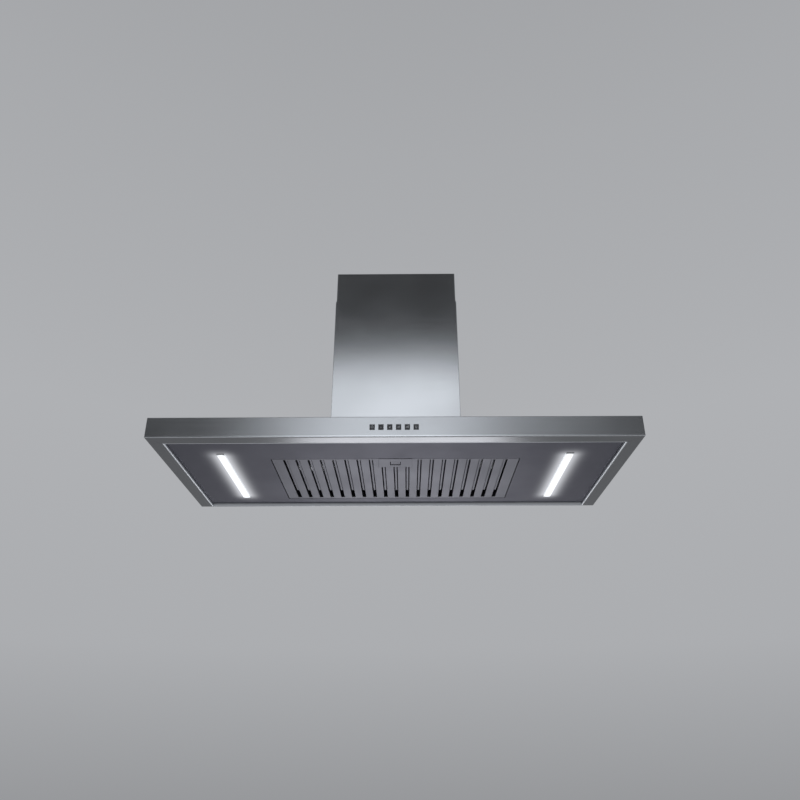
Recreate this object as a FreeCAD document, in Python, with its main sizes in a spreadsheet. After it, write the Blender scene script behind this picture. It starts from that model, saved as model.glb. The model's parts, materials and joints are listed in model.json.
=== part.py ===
import FreeCAD, Part
import Sketcher

import math
import os
import re
import sys

from FreeCAD import Placement, Rotation, Vector

# Wall-mounted canopy range hood, a parametric document in millimetres.
#
# A shallow folded stainless canopy carries a recessed underside panel with two lamps, one baffle filter
# and six front buttons. An airbox with a double-inlet blower stands on it, inside a telescopic chimney.
#
# Frame: the origin is the centre of the canopy's footprint, on the level of its lower rim.
# +X is the hood's right seen from the cook's side, +Y points at the wall and +Z up, so the front faces -Y.

doc = FreeCAD.newDocument("range_hood")
nodes = []

# ---------------------------------------------------------------- driving dimensions
DIMENSIONS = {
    # canopy
    "canopy_width": 1200,
    "canopy_depth": 540,
    "canopy_height": 54,
    "sheet": 1,
    "bend": 2,
    "lip_bend": 2,
    "rim_front": 39,
    "rim_side": 37,
    "rim_rear": 3,
    "rim_corner": 3,
    "mitre_gap": 0.3,
    "lip_height": 20,
    "recess": 8,
    "panel_gap": 0.6,
    "panel_rear": 268.4,
    "wall_screw_offset": 300,
    "wall_screw_level": 38,
    "wall_screw_radius": 4.25,
    "clip_sheet": 0.8,
    "clip_length": 30,
    "clip_depth": 7,
    # chimney
    "chimney_width": 366,
    "chimney_front": -20,
    "chimney_return": 14,
    "chimney_bend": 2,
    "lower_length": 498,
    "upper_length": 500,
    "upper_shown": 103.5,
    "upper_side_step": 2,
    "upper_front_step": 2.5,
    "upper_rear_step": 2,
    "foot_flange": 12,
    "air_slot_front": 60,
    "air_slot_level": 15,
    "air_slot_length": 35,
    "air_slot_height": 3,
    "air_slot_pitch_y": 50,
    "air_slot_pitch_z": 22,
    "bracket_level": 636,
    "bracket_height": 28,
    "bracket_sheet": 1.5,
    "bracket_back": 163,
    "bracket_step": 17,
    "bracket_tab_front": 235,
    "bracket_tab_screw": 250,
    "bracket_hole_offset": 120,
    "bracket_hole_radius": 3,
    # baffle filter
    "filter_width": 644,
    "filter_front": -104.5,
    "filter_rear": 216,
    "filter_height": 24,
    "slot_count": 19,
    "slot_pitch": 32,
    "slot_width": 11,
    "slot_front": -99.5,
    "slot_rear": 206,
    "window_half": 293.5,
    "lower_lip_height": 8,
    "trough_level": 5.6,
    "trough_bottom": 2.4,
    "trough_top": 9,
    "trough_wall": 1.1,
    "trough_rear": 158,
    "filter_side_gap": 2.5,
    "filter_front_gap": 1.5,
    "filter_rear_gap": 2.5,
    "filter_flange": 12,
    "tab_offset": 200,
    "tab_width": 30,
    "tab_reach": 8.5,
    "tab_gap": 0.3,
    # filter latch
    "latch_half": 44,
    "latch_front": -103,
    "latch_rear": -45,
    "latch_wall": 17,
    "pull_half": 14,
    "pull_front": -84,
    "pull_rear": -60,
    "pull_gap": 2,
    "latch_notch": 2.5,
    "latch_travel": 8,
    "bolt_half": 12,
    "bolt_reach": 7,
    "slider_half": 18,
    "slider_sheet": 1.5,
    "spring_radius": 2.6,
    "spring_wire": 0.3,
    # lamps
    "lamp_offset": 446.7,
    "lamp_half": 10,
    "lamp_length": 348,
    "lamp_middle": 30,
    "lamp_gap": 1.2,
    "lens_proud": 2.2,
    "lens_height": 9,
    "lens_wall": 1.5,
    "lens_face": 2,
    "housing_height": 16,
    "chip_count": 19,
    "chip_pitch": 18,
    "chip_size": 2.8,
    "chip_height": 0.8,
    # push buttons and their control box
    "button_count": 6,
    "button_pitch": 21.2,
    "button_width": 12,
    "button_height": 14,
    "button_level": 26,
    "button_proud": 1.2,
    "button_gap": 0.4,
    "button_travel": 2.5,
    "control_half": 70,
    "control_low": 13,
    "control_high": 39,
    "control_depth": 20,
    "control_wall": 1.6,
    "board_sheet": 1.6,
    "board_inset": 3.4,
    "switch_half": 3,
    "switch_case": 3.5,
    "switch_height": 5,
    # airbox
    "airbox_half": 150,
    "airbox_front": 8,
    "airbox_rear": 257,
    "airbox_height": 248,
    "gasket": 2,
    "air_opening_half": 144,
    "air_opening_front": 14,
    "air_opening_rear": 251,
    "screw_radius": 2,
    "screw_gap": 0.2,
    "head_radius": 4,
    "head_height": 2.5,
    "socket_radius": 1.6,
    "socket_depth": 1,
    "nut_height": 3,
    "hanger_offset": 130,
    "hanger_level": 282,
    "hanger_height": 40,
    "hanger_sheet": 2,
    "hanger_hole_radius": 4,
    # outlet and its backdraught flaps
    "outlet_y": 133,
    "outlet_radius": 75,
    "outlet_wall": 1.5,
    "outlet_flange": 92,
    "outlet_length": 54,
    "flap_level": 322,
    "flap_radius": 71,
    "flap_offset": 4,
    "flap_sheet": 1,
    "flap_pin": 1.5,
    "flap_knuckle": 3,
    "flap_knuckle_half": 62,
    "stop_radius": 68,
    # blower
    "blower_y": 108,
    "blower_z": 165,
    "wheel_radius": 75,
    "wheel_half": 62,
    "wheel_ring": 2,
    "blade_depth": 14,
    "blade_sheet": 1,
    "blade_count": 36,
    "blade_lean": 9,
    "scroll_half": 72,
    "scroll_wall": 2,
    "ear_radius": 6,
    "ear_offset": 4,
    "ear_width": 5,
    "scroll_nut": 2,
    "tongue_radius": 80,
    "throat_radius": 118,
    "tongue_angle": 70,
    "inlet_radius": 64,
    "inlet_depth": 8,
    "inlet_screw_offset": 4,
    "shaft_radius": 4,
    "motor_radius": 46,
    "motor_inner_end": 12,
    "motor_outer_end": 66,
    "motor_wall": 2,
    "stator_inner": 25,
    "rotor_radius": 24.5,
    "bearing_radius": 11,
    "bearing_width": 7,
    "bearing_gap": 0.03,
    "mount_circle": 34,
    "mount_radius": 7,
    "mount_neck": 5,
    "mount_lip": 3,
    "spider_sheet": 2,
    "spider_rim": 8,
    "spider_arm": 14,
    # electrics
    "capacitor_radius": 17,
    "capacitor_length": 62,
    "capacitor_y": 50,
    "capacitor_low": 150,
    "strap_height": 14,
    "strap_sheet": 1.5,
    "terminal_depth": 24,
    "terminal_wall": 2,
    "terminal_front": 75,
    "terminal_rear": 175,
    "terminal_low": 185,
    "terminal_high": 250,
    "strip_front": 105,
    "strip_rear": 145,
    "strip_low": 192,
    "strip_high": 209,
    "strip_depth": 13,
    "well_count": 4,
    "well_pitch": 9.3,
    "well_radius": 2.6,
    "well_depth": 9,
    "gland_y": 125,
    "gland_radius": 4.5,
    "gland_nut": 6,
    "gland_length": 24,
    "cable_radius": 2,
    "driver_left": -412,
    "driver_right": -344,
    "driver_front": 120,
    "driver_rear": 205,
    "driver_height": 22,
}

dims = doc.addObject("Spreadsheet::Sheet", "Dims")
for row, (alias, value) in enumerate(DIMENSIONS.items(), start=1):
    dims.set(f"A{row}", alias)
    dims.set(f"B{row}", str(value))
    dims.setAlias(f"B{row}", alias)
doc.recompute()

# names for lengths that many pieces share, as expressions over the sheet
DERIVED = {
    "half_width": "canopy_width/2",
    "front": "0 - canopy_depth/2",
    "wall": "canopy_depth/2",
    "panel_top": "recess + sheet",
    "panel_side": "half_width - rim_side - panel_gap",
    "panel_front": "front + rim_front + panel_gap",
    "opening_side": "filter_width/2 + filter_side_gap",
    "opening_front": "filter_front - filter_front_gap",
    "opening_rear": "filter_rear + filter_rear_gap",
    "filter_top": "recess + filter_height",
    "chimney_half": "chimney_width/2",
    "lower_top": "canopy_height + lower_length",
    "upper_half": "chimney_half - upper_side_step",
    "upper_front": "chimney_front + upper_front_step",
    "upper_rear": "wall - upper_rear_step",
    "upper_top": "lower_top + upper_shown",
    "upper_low": "upper_top - upper_length",
    "airbox_low": "canopy_height + gasket",
    "airbox_top": "airbox_low + airbox_height",
    "outlet_top": "airbox_top + sheet + outlet_length",
    "bracket_low": "bracket_level - bracket_height/2",
    "bracket_high": "bracket_level + bracket_height/2",
    "slot_side": "slot_width/2",
    "lamp_front": "lamp_middle - lamp_length/2",
    "lamp_rear": "lamp_middle + lamp_length/2",
}


def row_centres(count, pitch):
    """Places of a row of equal features about the middle, as expressions."""
    return [f"{i - (count - 1) / 2} * {pitch}" for i in range(count)]


SLOT_CENTRES = row_centres(DIMENSIONS["slot_count"], "slot_pitch")
BUTTON_CENTRES = row_centres(DIMENSIONS["button_count"], "button_pitch")
CABLE_HOLES = ("90", "120", "150")
CABLE_HOLE_LEVEL = "215"
AIRBOX_SCREWS = [(side, y) for side in (-156, 156) for y in (30, 132, 235)]
CHIMNEY_SCREWS = [(side, y) for side in (-175, 175) for y in (40, 225)]
SIDE_CLIPS = (-120, 130)
FRONT_CLIP = 300


# ---------------------------------------------------------------- expressions
def bound(text):
    """An expression with every derived name written out and every dimension pointed at the sheet."""
    def swap(match):
        word = match[0]
        if word in DERIVED:
            return f"({bound(DERIVED[word])})"
        return f"Dims.{word}" if word in DIMENSIONS else word
    return re.sub(r"(?<!\.)\b[a-z_]+\b", swap, str(text))


def number(text):
    """The present value of an expression."""
    return float(dims.evalExpression(bound(text)))


def size(alias):
    """A dimension from the sheet, for shapes that are set directly."""
    return float(dims.get(alias))


# ---------------------------------------------------------------- Part primitives
AXES = {"x": Rotation(Vector(0, 1, 0), 90), "y": Rotation(Vector(1, 0, 0), -90), "z": Rotation()}


def place(obj, x, y, z, rotation=None):
    obj.Placement = Placement(Vector(), rotation or Rotation())
    for letter, text in zip("xyz", (x, y, z)):
        obj.setExpression(f"Placement.Base.{letter}", bound(text))
    return obj


def block(name, x, y, z):
    """A box from its low and high ends along X, Y and Z."""
    obj = doc.addObject("Part::Box", name)
    for side, (low, high) in zip(("Length", "Width", "Height"), (x, y, z)):
        obj.setExpression(side, bound(f"({high}) - ({low})"))
    return place(obj, x[0], y[0], z[0])


def cylinder(name, axis, start, radius, length):
    """A cylinder that starts at a point and runs along +axis."""
    obj = doc.addObject("Part::Cylinder", name)
    obj.setExpression("Radius", bound(radius))
    obj.setExpression("Height", bound(length))
    return place(obj, *start, AXES[axis])


def fuse(name, *shapes):
    obj = doc.addObject("Part::MultiFuse", name)
    obj.Shapes = list(shapes)
    obj.Refine = True
    return obj


def group(name, shapes):
    """Separate solids that share one node."""
    obj = doc.addObject("Part::Compound", name)
    obj.Links = list(shapes)
    return obj


def cut(name, base, *tools):
    obj = doc.addObject("Part::Cut", name)
    obj.Base = base
    obj.Tool = tools[0] if len(tools) == 1 else group(name + "_tools", tools)
    return obj


def tube(name, axis, start, outer, inner, length):
    """A ring or sleeve, open at both ends."""
    return cut(name, cylinder(name + "_outer", axis, start, outer, length),
               cylinder(name + "_bore", axis, start, inner, length))


def node(obj, label):
    """Marks an object of the document as one sub-part."""
    obj.Label = label
    nodes.append(obj)
    return obj


def feature(label, shape, placement=None):
    """A sub-part whose shape is set directly, then placed."""
    obj = doc.addObject("Part::Feature", label)
    obj.Shape = shape
    obj.Placement = placement or Placement()
    return node(obj, label)


# ---------------------------------------------------------------- PartDesign sheet metal
def body(label):
    obj = doc.addObject("PartDesign::Body", label)
    obj.AllowCompound = True
    return node(obj, label)


def sketch_on(part, name, plane, offset):
    """An empty sketch on one of the body's origin planes, moved along that plane's normal."""
    sketch = part.newObject("Sketcher::SketchObject", name)
    support = next(o for o in part.Origin.OriginFeatures if o.Role == plane)
    sketch.AttachmentSupport = [(support, "")]
    sketch.MapMode = "FlatFace"
    sketch.setExpression("AttachmentOffset.Base.z", bound(offset))
    return sketch


def pin_point(sketch, line, which, corner):
    """Ties one point of the sketch to its two coordinates."""
    for kind, axis, text in (("DistanceX", -2, corner[0]), ("DistanceY", -1, corner[1])):
        value = number(text)
        if value == 0:
            sketch.addConstraint(Sketcher.Constraint("PointOnObject", line, which, axis))
            continue
        index = sketch.addConstraint(Sketcher.Constraint(kind, -1, 1, line, which, value))
        sketch.setExpression(f"Constraints[{index}]", bound(text))


def outline(part, name, plane, offset, *loops):
    """A sketch of closed straight-sided loops, with every corner tied to the sheet."""
    sketch = sketch_on(part, name, plane, offset)
    for corners in loops:
        first = sketch.GeometryCount
        count = len(corners)
        points = [Vector(number(u), number(v), 0) for u, v in corners]
        for i in range(count):
            sketch.addGeometry(Part.LineSegment(points[i], points[(i + 1) % count]), False)
        for i in range(count):
            sketch.addConstraint(Sketcher.Constraint("Coincident", first + i, 2, first + (i + 1) % count, 1))
        for i, corner in enumerate(corners):
            pin_point(sketch, first + i, 1, corner)
    return sketch


def circles(part, name, plane, offset, radius, centres):
    """A sketch of equal circles."""
    sketch = sketch_on(part, name, plane, offset)
    for centre in centres:
        middle = Vector(number(centre[0]), number(centre[1]), 0)
        ring = sketch.addGeometry(Part.Circle(middle, Vector(0, 0, 1), number(radius)), False)
        index = sketch.addConstraint(Sketcher.Constraint("Radius", ring, number(radius)))
        sketch.setExpression(f"Constraints[{index}]", bound(radius))
        pin_point(sketch, ring, 3, centre)
    return sketch


def rectangle(x, y):
    return [(x[0], y[0]), (x[1], y[0]), (x[1], y[1]), (x[0], y[1])]


def channel(half, grow, closed, end):
    """A U in plan: inner faces at plus and minus half, a closed side between two Ys, and open ends."""
    wide = f"{half} + {grow}"
    return [(f"-({wide})", closed[0]), (wide, closed[0]), (wide, end), (half, end), (half, closed[1]),
            (f"-({half})", closed[1]), (f"-({half})", end), (f"-({wide})", end)]


def mirrored(loop):
    """The same loop on the other side of the middle."""
    return [(f"-({u})", v) for u, v in reversed(loop)]


def pad(part, sketch, length):
    obj = part.newObject("PartDesign::Pad", sketch.Name + "_pad")
    obj.Profile = sketch
    obj.setExpression("Length", bound(length))
    doc.recompute()
    return obj


def pocket(part, sketch, length):
    """Cuts a sketch out along its own normal, and stops the build if nothing was cut."""
    before = part.Shape.Volume
    obj = part.newObject("PartDesign::Pocket", sketch.Name + "_pocket")
    obj.Profile = sketch
    obj.setExpression("Length", bound(length))
    obj.Reversed = True
    doc.recompute()
    if part.Shape.Volume > before - 1e-6:
        sys.exit(f"{part.Label}: {obj.Name} cut nothing")
    return obj


def slab(part, name, z, *loops):
    """Adds loops drawn in XY, from one level up to another."""
    return pad(part, outline(part, name, "XY_Plane", z[0], *loops), f"({z[1]}) - ({z[0]})")


def opening(part, name, z, *loops):
    """Removes loops drawn in XY, from one level up to another."""
    return pocket(part, outline(part, name, "XY_Plane", z[0], *loops), f"({z[1]}) - ({z[0]})")


def bend_edges(part, name, radius, test):
    """Rounds the straight edges of the body's tip whose middle and direction pass the test."""
    base = part.Tip
    names = []
    for i, edge in enumerate(base.Shape.Edges, start=1):
        ends = [v.Point for v in edge.Vertexes]
        if len(ends) == 2 and test((ends[0] + ends[1]) * 0.5, ends[1] - ends[0]):
            names.append(f"Edge{i}")
    obj = part.newObject("PartDesign::Fillet", name)
    obj.Base = (base, names)
    obj.setExpression("Radius", bound(radius))
    doc.recompute()
    return obj


# ---------------------------------------------------------------- canopy
def build_canopy_shell():
    """Top, front and sides folded from one sheet, with a flat rim underneath and a lip standing on it."""
    part = body("canopy_shell")
    slab(part, "canopy_block", ("0", "canopy_height"),
         rectangle(("-half_width", "half_width"), ("front", "wall")))
    x_out, y_out, top = number("half_width"), number("front"), number("canopy_height")

    def is_fold(middle, along):
        level = abs(along.z) < 1e-6 and (abs(middle.z) < 1e-6 or abs(middle.z - top) < 1e-6)
        return level and (abs(middle.y - y_out) < 1e-6 or abs(abs(middle.x) - x_out) < 1e-6)

    bend_edges(part, "canopy_folds", "bend", is_fold)
    opening(part, "canopy_hollow", ("sheet", "canopy_height - sheet"),
            rectangle(("sheet - half_width", "half_width - sheet"), ("front + sheet", "wall")))
    inner = ("rim_side - half_width", "half_width - rim_side")
    mouth = [
        ("0", "front + rim_front"), (inner[1], "front + rim_front"), (inner[1], "wall - rim_rear"),
        (f"{inner[1]} + rim_corner", "wall - rim_rear"), (f"{inner[1]} + rim_corner", "wall"), ("0", "wall"),
    ]
    opening(part, "canopy_mouth", ("0", "sheet"), mouth + mirrored(mouth)[1:-1])
    opening(part, "air_hole", ("canopy_height - sheet", "canopy_height"),
            rectangle(("-air_opening_half", "air_opening_half"), ("air_opening_front", "air_opening_rear")))
    lip_front = ("front + rim_front - sheet", "front + rim_front")
    slab(part, "rim_lip", ("sheet", "lip_height"), channel(inner[1], "sheet", lip_front, "wall - rim_rear"))
    x_in, y_in = number(inner[1]), number(lip_front[1])

    def is_inner_fold(middle, along):
        level = abs(middle.z) < 1e-6 and abs(along.z) < 1e-6
        return level and (abs(middle.y - y_in) < 1e-6 or abs(abs(middle.x) - x_in) < 1e-6)

    bend_edges(part, "rim_folds", "lip_bend", is_inner_fold)
    for side, sign in (("left", "-"), ("right", "")):
        near, far = "half_width - rim_side + 2*bend", "half_width - 2*bend"
        opening(part, f"rim_mitre_{side}", ("0", "sheet"),
                [(f"{sign}({near})", "front + rim_front - 2*bend"), (f"{sign}({far})", "front + 2*bend"),
                 (f"{sign}({far} + mitre_gap)", "front + 2*bend"),
                 (f"{sign}({near} + mitre_gap)", "front + rim_front - 2*bend")])
    low, high = "button_level - button_height/2 - button_gap", "button_level + button_height/2 + button_gap"
    reach = "button_width/2 + button_gap"
    holes = [rectangle((f"{c} - ({reach})", f"{c} + {reach}"), (low, high)) for c in BUTTON_CENTRES]
    faces = outline(part, "button_holes", "XZ_Plane", "0 - (front + sheet)", *holes)
    pocket(part, faces, "sheet")
    pocket(part, circles(part, "airbox_screw_holes", "XY_Plane", "canopy_height - sheet",
                         "screw_radius + screw_gap", AIRBOX_SCREWS + CHIMNEY_SCREWS), "sheet")


def build_canopy_rear_panel():
    """The plate against the wall, with a hem below, a welding flange above and two screw holes."""
    part = body("canopy_rear_panel")
    width = ("sheet - half_width", "half_width - sheet")
    slab(part, "rear_plate", ("sheet", "canopy_height - sheet"), rectangle(width, ("wall - sheet", "wall")))
    slab(part, "rear_hem", ("0", "sheet"),
         rectangle(("rim_side - half_width - rim_corner", "half_width - rim_side + rim_corner"),
                   ("wall - rim_rear", "wall")))
    slab(part, "rear_weld_flange", ("canopy_height - 2*sheet", "canopy_height - sheet"),
         rectangle(width, ("wall - foot_flange", "wall - sheet")))
    centres = [(f"{side} * wall_screw_offset", "wall_screw_level") for side in (-1, 1)]
    holes = circles(part, "wall_screw_holes", "XZ_Plane", "-wall", "wall_screw_radius", centres)
    pocket(part, holes, "sheet")


def build_underside_panel():
    """The recessed pan: openings for the filter and the lamps, and flanges turned up round its edges."""
    part = body("underside_panel")
    slab(part, "pan_sheet", ("recess", "panel_top"),
         rectangle(("-panel_side", "panel_side"), ("panel_front", "panel_rear")))
    opening(part, "filter_opening", ("recess", "panel_top"),
            rectangle(("-opening_side", "opening_side"), ("opening_front", "opening_rear")))
    reach = "lamp_half + lamp_gap"
    opening(part, "lamp_openings", ("recess", "panel_top"),
            *[rectangle((f"{side} * lamp_offset - ({reach})", f"{side} * lamp_offset + {reach}"),
                        ("lamp_front - lamp_gap", "lamp_rear + lamp_gap")) for side in (-1, 1)])
    opening(part, "latch_notch", ("recess", "panel_top"),
            rectangle(("-latch_half", "latch_half"), ("opening_front - latch_notch", "opening_front")))
    slab(part, "pan_flanges", ("panel_top", "lip_height"),
         rectangle(("-panel_side", "panel_side"), ("panel_front", "panel_rear")),
         rectangle(("sheet - panel_side", "panel_side - sheet"),
                   ("panel_front + sheet", "panel_rear - sheet")))
    right = [
        ("opening_side + sheet", "opening_front - sheet"), ("opening_side + sheet", "opening_rear"),
        ("opening_side", "opening_rear"), ("opening_side", "opening_front"),
        ("latch_half", "opening_front"), ("latch_half", "opening_front - sheet"),
    ]
    slab(part, "opening_flanges", ("panel_top", "lip_height"), right, mirrored(right))


def build_panel_clips():
    """Six spring clips that pinch the pan's flange and the rim's lip together."""
    inner, over = "panel_gap + sheet", "lip_height + clip_sheet"
    clips = []

    def clip(index, across, along, wall_side, turned):
        """One clip: across is the lip's inner face, wall_side the direction towards the rim."""
        outside = [f"{across} + ({wall_side}) * ({away})" for away in ("sheet", "sheet + clip_sheet")]
        inside = [f"{across} - ({wall_side}) * ({away})" for away in (f"{inner} + clip_sheet", inner)]
        legs = ("lip_height - clip_depth", over)
        run = (f"{along} - clip_length/2", f"{along} + clip_length/2")
        pieces = []
        parts = ((outside, legs), (inside, legs), ((inside[0], outside[1]), ("lip_height", over)))
        for i, (span, level) in enumerate(parts):
            span = tuple(sorted(span, key=number))
            x, y = (run, span) if turned else (span, run)
            pieces.append(block(f"clip_{index}_{i}", x, y, level))
        return fuse(f"clip_{index}", *pieces)

    for side in (-1, 1):
        edge = f"{side} * (half_width - rim_side)"
        for y in SIDE_CLIPS:
            clips.append(clip(len(clips), edge, y, side, False))
        clips.append(clip(len(clips), "front + rim_front", side * FRONT_CLIP, -1, True))
    node(group("panel_clips", clips), "panel_clips")


# ---------------------------------------------------------------- chimney
def chimney_sheet(part, half, front, rear, z):
    """A three-sided cover with returns along its open back."""
    slab(part, part.Label + "_block", z, rectangle((f"-{half}", half), (front, rear)))
    x_out, y_out = number(half), number(front)

    def is_corner(middle, along):
        return abs(along.z) > 1 and abs(middle.y - y_out) < 1e-6 and abs(abs(middle.x) - x_out) < 1e-6

    bend_edges(part, part.Label + "_bends", "chimney_bend", is_corner)
    opening(part, part.Label + "_hollow", z,
            rectangle((f"sheet - {half}", f"{half} - sheet"), (f"{front} + sheet", f"{rear} - sheet")))
    opening(part, part.Label + "_back", z,
            rectangle((f"chimney_return - {half}", f"{half} - chimney_return"), (f"{rear} - sheet", rear)))


def build_lower_chimney():
    """The wider cover, standing on the canopy on an inward foot flange."""
    part = body("lower_chimney")
    chimney_sheet(part, "chimney_half", "chimney_front", "wall", ("canopy_height", "lower_top"))
    foot_front = ("chimney_front + sheet", "chimney_front + sheet + foot_flange")
    slab(part, "foot_flange", ("canopy_height", "canopy_height + sheet"),
         channel("chimney_half - sheet - foot_flange", "foot_flange", foot_front, "wall - sheet"))
    pocket(part, circles(part, "foot_holes", "XY_Plane", "canopy_height",
                         "screw_radius + screw_gap", CHIMNEY_SCREWS), "sheet")


def build_upper_chimney():
    """The narrower cover that slides in the lower one, with air slots near its lower, hidden end."""
    part = body("upper_chimney")
    chimney_sheet(part, "upper_half", "upper_front", "upper_rear", ("upper_low", "upper_top"))
    starts = [f"air_slot_front + {i} * air_slot_pitch_y" for i in range(3)]
    levels = [f"upper_low + air_slot_level + {i} * air_slot_pitch_z" for i in range(3)]
    slots = [rectangle((start, f"{start} + air_slot_length"), (level, f"{level} + air_slot_height"))
             for start in starts for level in levels]
    pocket(part, outline(part, "air_slots", "YZ_Plane", "-upper_half", *slots), "2 * upper_half")
    pocket(part, circles(part, "bracket_screw_holes", "YZ_Plane", "-upper_half", "screw_radius + screw_gap",
                         [("bracket_tab_screw", "bracket_level")]), "2 * upper_half")


def build_chimney_wall_bracket():
    """A strip bent to lie on the wall and reach round the returns to the upper cover's sides."""
    part = body("chimney_wall_bracket")
    side = "bracket_back + bracket_step"
    step_rear, step_front = "wall - 2.3*bracket_sheet", "wall - 3.3*bracket_sheet"
    right = [
        ("bracket_back", "wall"), ("bracket_back", step_rear),
        (side, step_rear), (side, "bracket_tab_front"),
        (f"{side} - bracket_sheet", "bracket_tab_front"), (f"{side} - bracket_sheet", step_front),
        ("bracket_back - bracket_sheet", step_front),
        ("bracket_back - bracket_sheet", "wall - bracket_sheet"),
    ]
    slab(part, "bracket_strip", ("bracket_low", "bracket_high"), right + mirrored(right))
    centres = [(f"{side} * bracket_hole_offset", "bracket_level") for side in (-1, 1)]
    pocket(part, circles(part, "bracket_wall_holes", "XZ_Plane", "-wall", "bracket_hole_radius", centres),
           "bracket_sheet")
    pocket(part, circles(part, "bracket_tab_holes", "YZ_Plane", f"-({side})", "screw_radius",
                         [("bracket_tab_screw", "bracket_level")]), f"2 * ({side})")


def screw(name, axis, sign, seat, grip):
    """A pan-head screw: the head stands on the seat, and the shank runs from it the other way."""
    x, y, z = seat
    moves = {"x": (1, 0, 0), "y": (0, 1, 0), "z": (0, 0, 1)}[axis]

    def shifted(amount):
        return [f"{value} + {step} * ({amount})" for value, step in zip((x, y, z), moves)]

    head_start = shifted("0" if sign > 0 else "-head_height")
    shank_start = shifted(f"-({grip})" if sign > 0 else "0")
    head = cylinder(name + "_head", axis, head_start, "head_radius", "head_height")
    shank = cylinder(name + "_shank", axis, shank_start, "screw_radius", grip)
    socket_start = shifted("head_height - socket_depth" if sign > 0 else "-head_height")
    socket = cylinder(name + "_socket", axis, socket_start, "socket_radius", "socket_depth")
    return cut(name, fuse(name + "_solid", head, shank), socket)


def build_chimney_screws():
    """Two through the upper cover's sides into the bracket, and four down through the foot flange."""
    sides = []
    for i, sign in enumerate((-1, 1)):
        seat = (f"{sign} * upper_half", "bracket_tab_screw", "bracket_level")
        sides.append(screw(f"bracket_screw_{i}", "x", sign, seat, "6"))
    node(group("chimney_bracket_screws", sides), "chimney_bracket_screws")
    feet = [screw(f"foot_screw_{i}", "z", 1, (x, y, "canopy_height + sheet"), "8")
            for i, (x, y) in enumerate(CHIMNEY_SCREWS)]
    node(group("lower_chimney_screws", feet), "lower_chimney_screws")


# ---------------------------------------------------------------- airbox and outlet
def build_airbox():
    """An open-bottomed sheet box with an outward foot flange and a round outlet hole in its top."""
    part = body("airbox")
    side, flange = "airbox_half", "foot_flange"
    foot = (f"airbox_front - {flange}", f"airbox_rear + {flange}")
    slab(part, "airbox_foot", ("airbox_low", "airbox_low + sheet"),
         rectangle((f"-{side} - {flange}", f"{side} + {flange}"), foot))
    slab(part, "airbox_block", ("airbox_low + sheet", "airbox_top"),
         rectangle((f"-{side}", side), ("airbox_front", "airbox_rear")))
    opening(part, "airbox_hollow", ("airbox_low", "airbox_top - sheet"),
            rectangle((f"sheet - {side}", f"{side} - sheet"),
                      ("airbox_front + sheet", "airbox_rear - sheet")))
    pocket(part, circles(part, "outlet_hole", "XY_Plane", "airbox_top - sheet",
                         "outlet_radius - outlet_wall", [("0", "outlet_y")]), "sheet")
    pocket(part, circles(part, "foot_screw_holes", "XY_Plane", "airbox_low",
                         "screw_radius + screw_gap", AIRBOX_SCREWS), "sheet")
    pocket(part, circles(part, "cable_hole", "YZ_Plane", "airbox_half - sheet",
                         "2 * cable_radius", [(y, CABLE_HOLE_LEVEL) for y in CABLE_HOLES]), "sheet")


def build_airbox_gasket():
    part = body("airbox_gasket")
    reach = ("-airbox_half - foot_flange", "airbox_half + foot_flange")
    slab(part, "gasket_ring", ("canopy_height", "airbox_low"),
         rectangle(reach, ("airbox_front - foot_flange", "airbox_rear + foot_flange")))
    opening(part, "gasket_opening", ("canopy_height", "airbox_low"),
            rectangle(("-air_opening_half", "air_opening_half"), ("air_opening_front", "air_opening_rear")))
    pocket(part, circles(part, "gasket_screw_holes", "XY_Plane", "canopy_height",
                         "screw_radius + screw_gap", AIRBOX_SCREWS), "gasket")


def build_airbox_fasteners():
    """Screws down through the foot flange, gasket and canopy, each with a nut underneath."""
    pieces = []
    for i, (x, y) in enumerate(AIRBOX_SCREWS):
        pieces.append(screw(f"airbox_screw_{i}", "z", 1, (x, y, "airbox_low + sheet"), "10"))
        nut = doc.addObject("Part::Prism", f"airbox_nut_{i}_hexagon")
        nut.Polygon = 6
        nut.setExpression("Circumradius", bound("2 * screw_radius"))
        nut.setExpression("Height", bound("nut_height"))
        low = "canopy_height - sheet - nut_height"
        place(nut, x, y, low)
        bore = cylinder(f"airbox_nut_{i}_bore", "z", (x, y, low), "screw_radius", "nut_height")
        pieces.append(cut(f"airbox_nut_{i}", nut, bore))
    node(group("airbox_fasteners", pieces), "airbox_fasteners")


def build_hanger_plate():
    """A channel on the airbox's back that hangs on two wall screws."""
    part = body("hanger_plate")
    low, high = "hanger_level - hanger_height/2", "hanger_level + hanger_height/2"
    slab(part, "hanger_web", (low, high),
         rectangle(("-airbox_half", "airbox_half"), ("wall - hanger_sheet", "wall")))
    slab(part, "hanger_legs", (low, high),
         rectangle(("-airbox_half", "hanger_sheet - airbox_half"), ("airbox_rear", "wall - hanger_sheet")),
         rectangle(("airbox_half - hanger_sheet", "airbox_half"), ("airbox_rear", "wall - hanger_sheet")))
    centres = [(f"{side} * hanger_offset", "hanger_level") for side in (-1, 1)]
    holes = circles(part, "hanger_holes", "XZ_Plane", "-wall", "hanger_hole_radius", centres)
    pocket(part, holes, "hanger_sheet")


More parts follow.
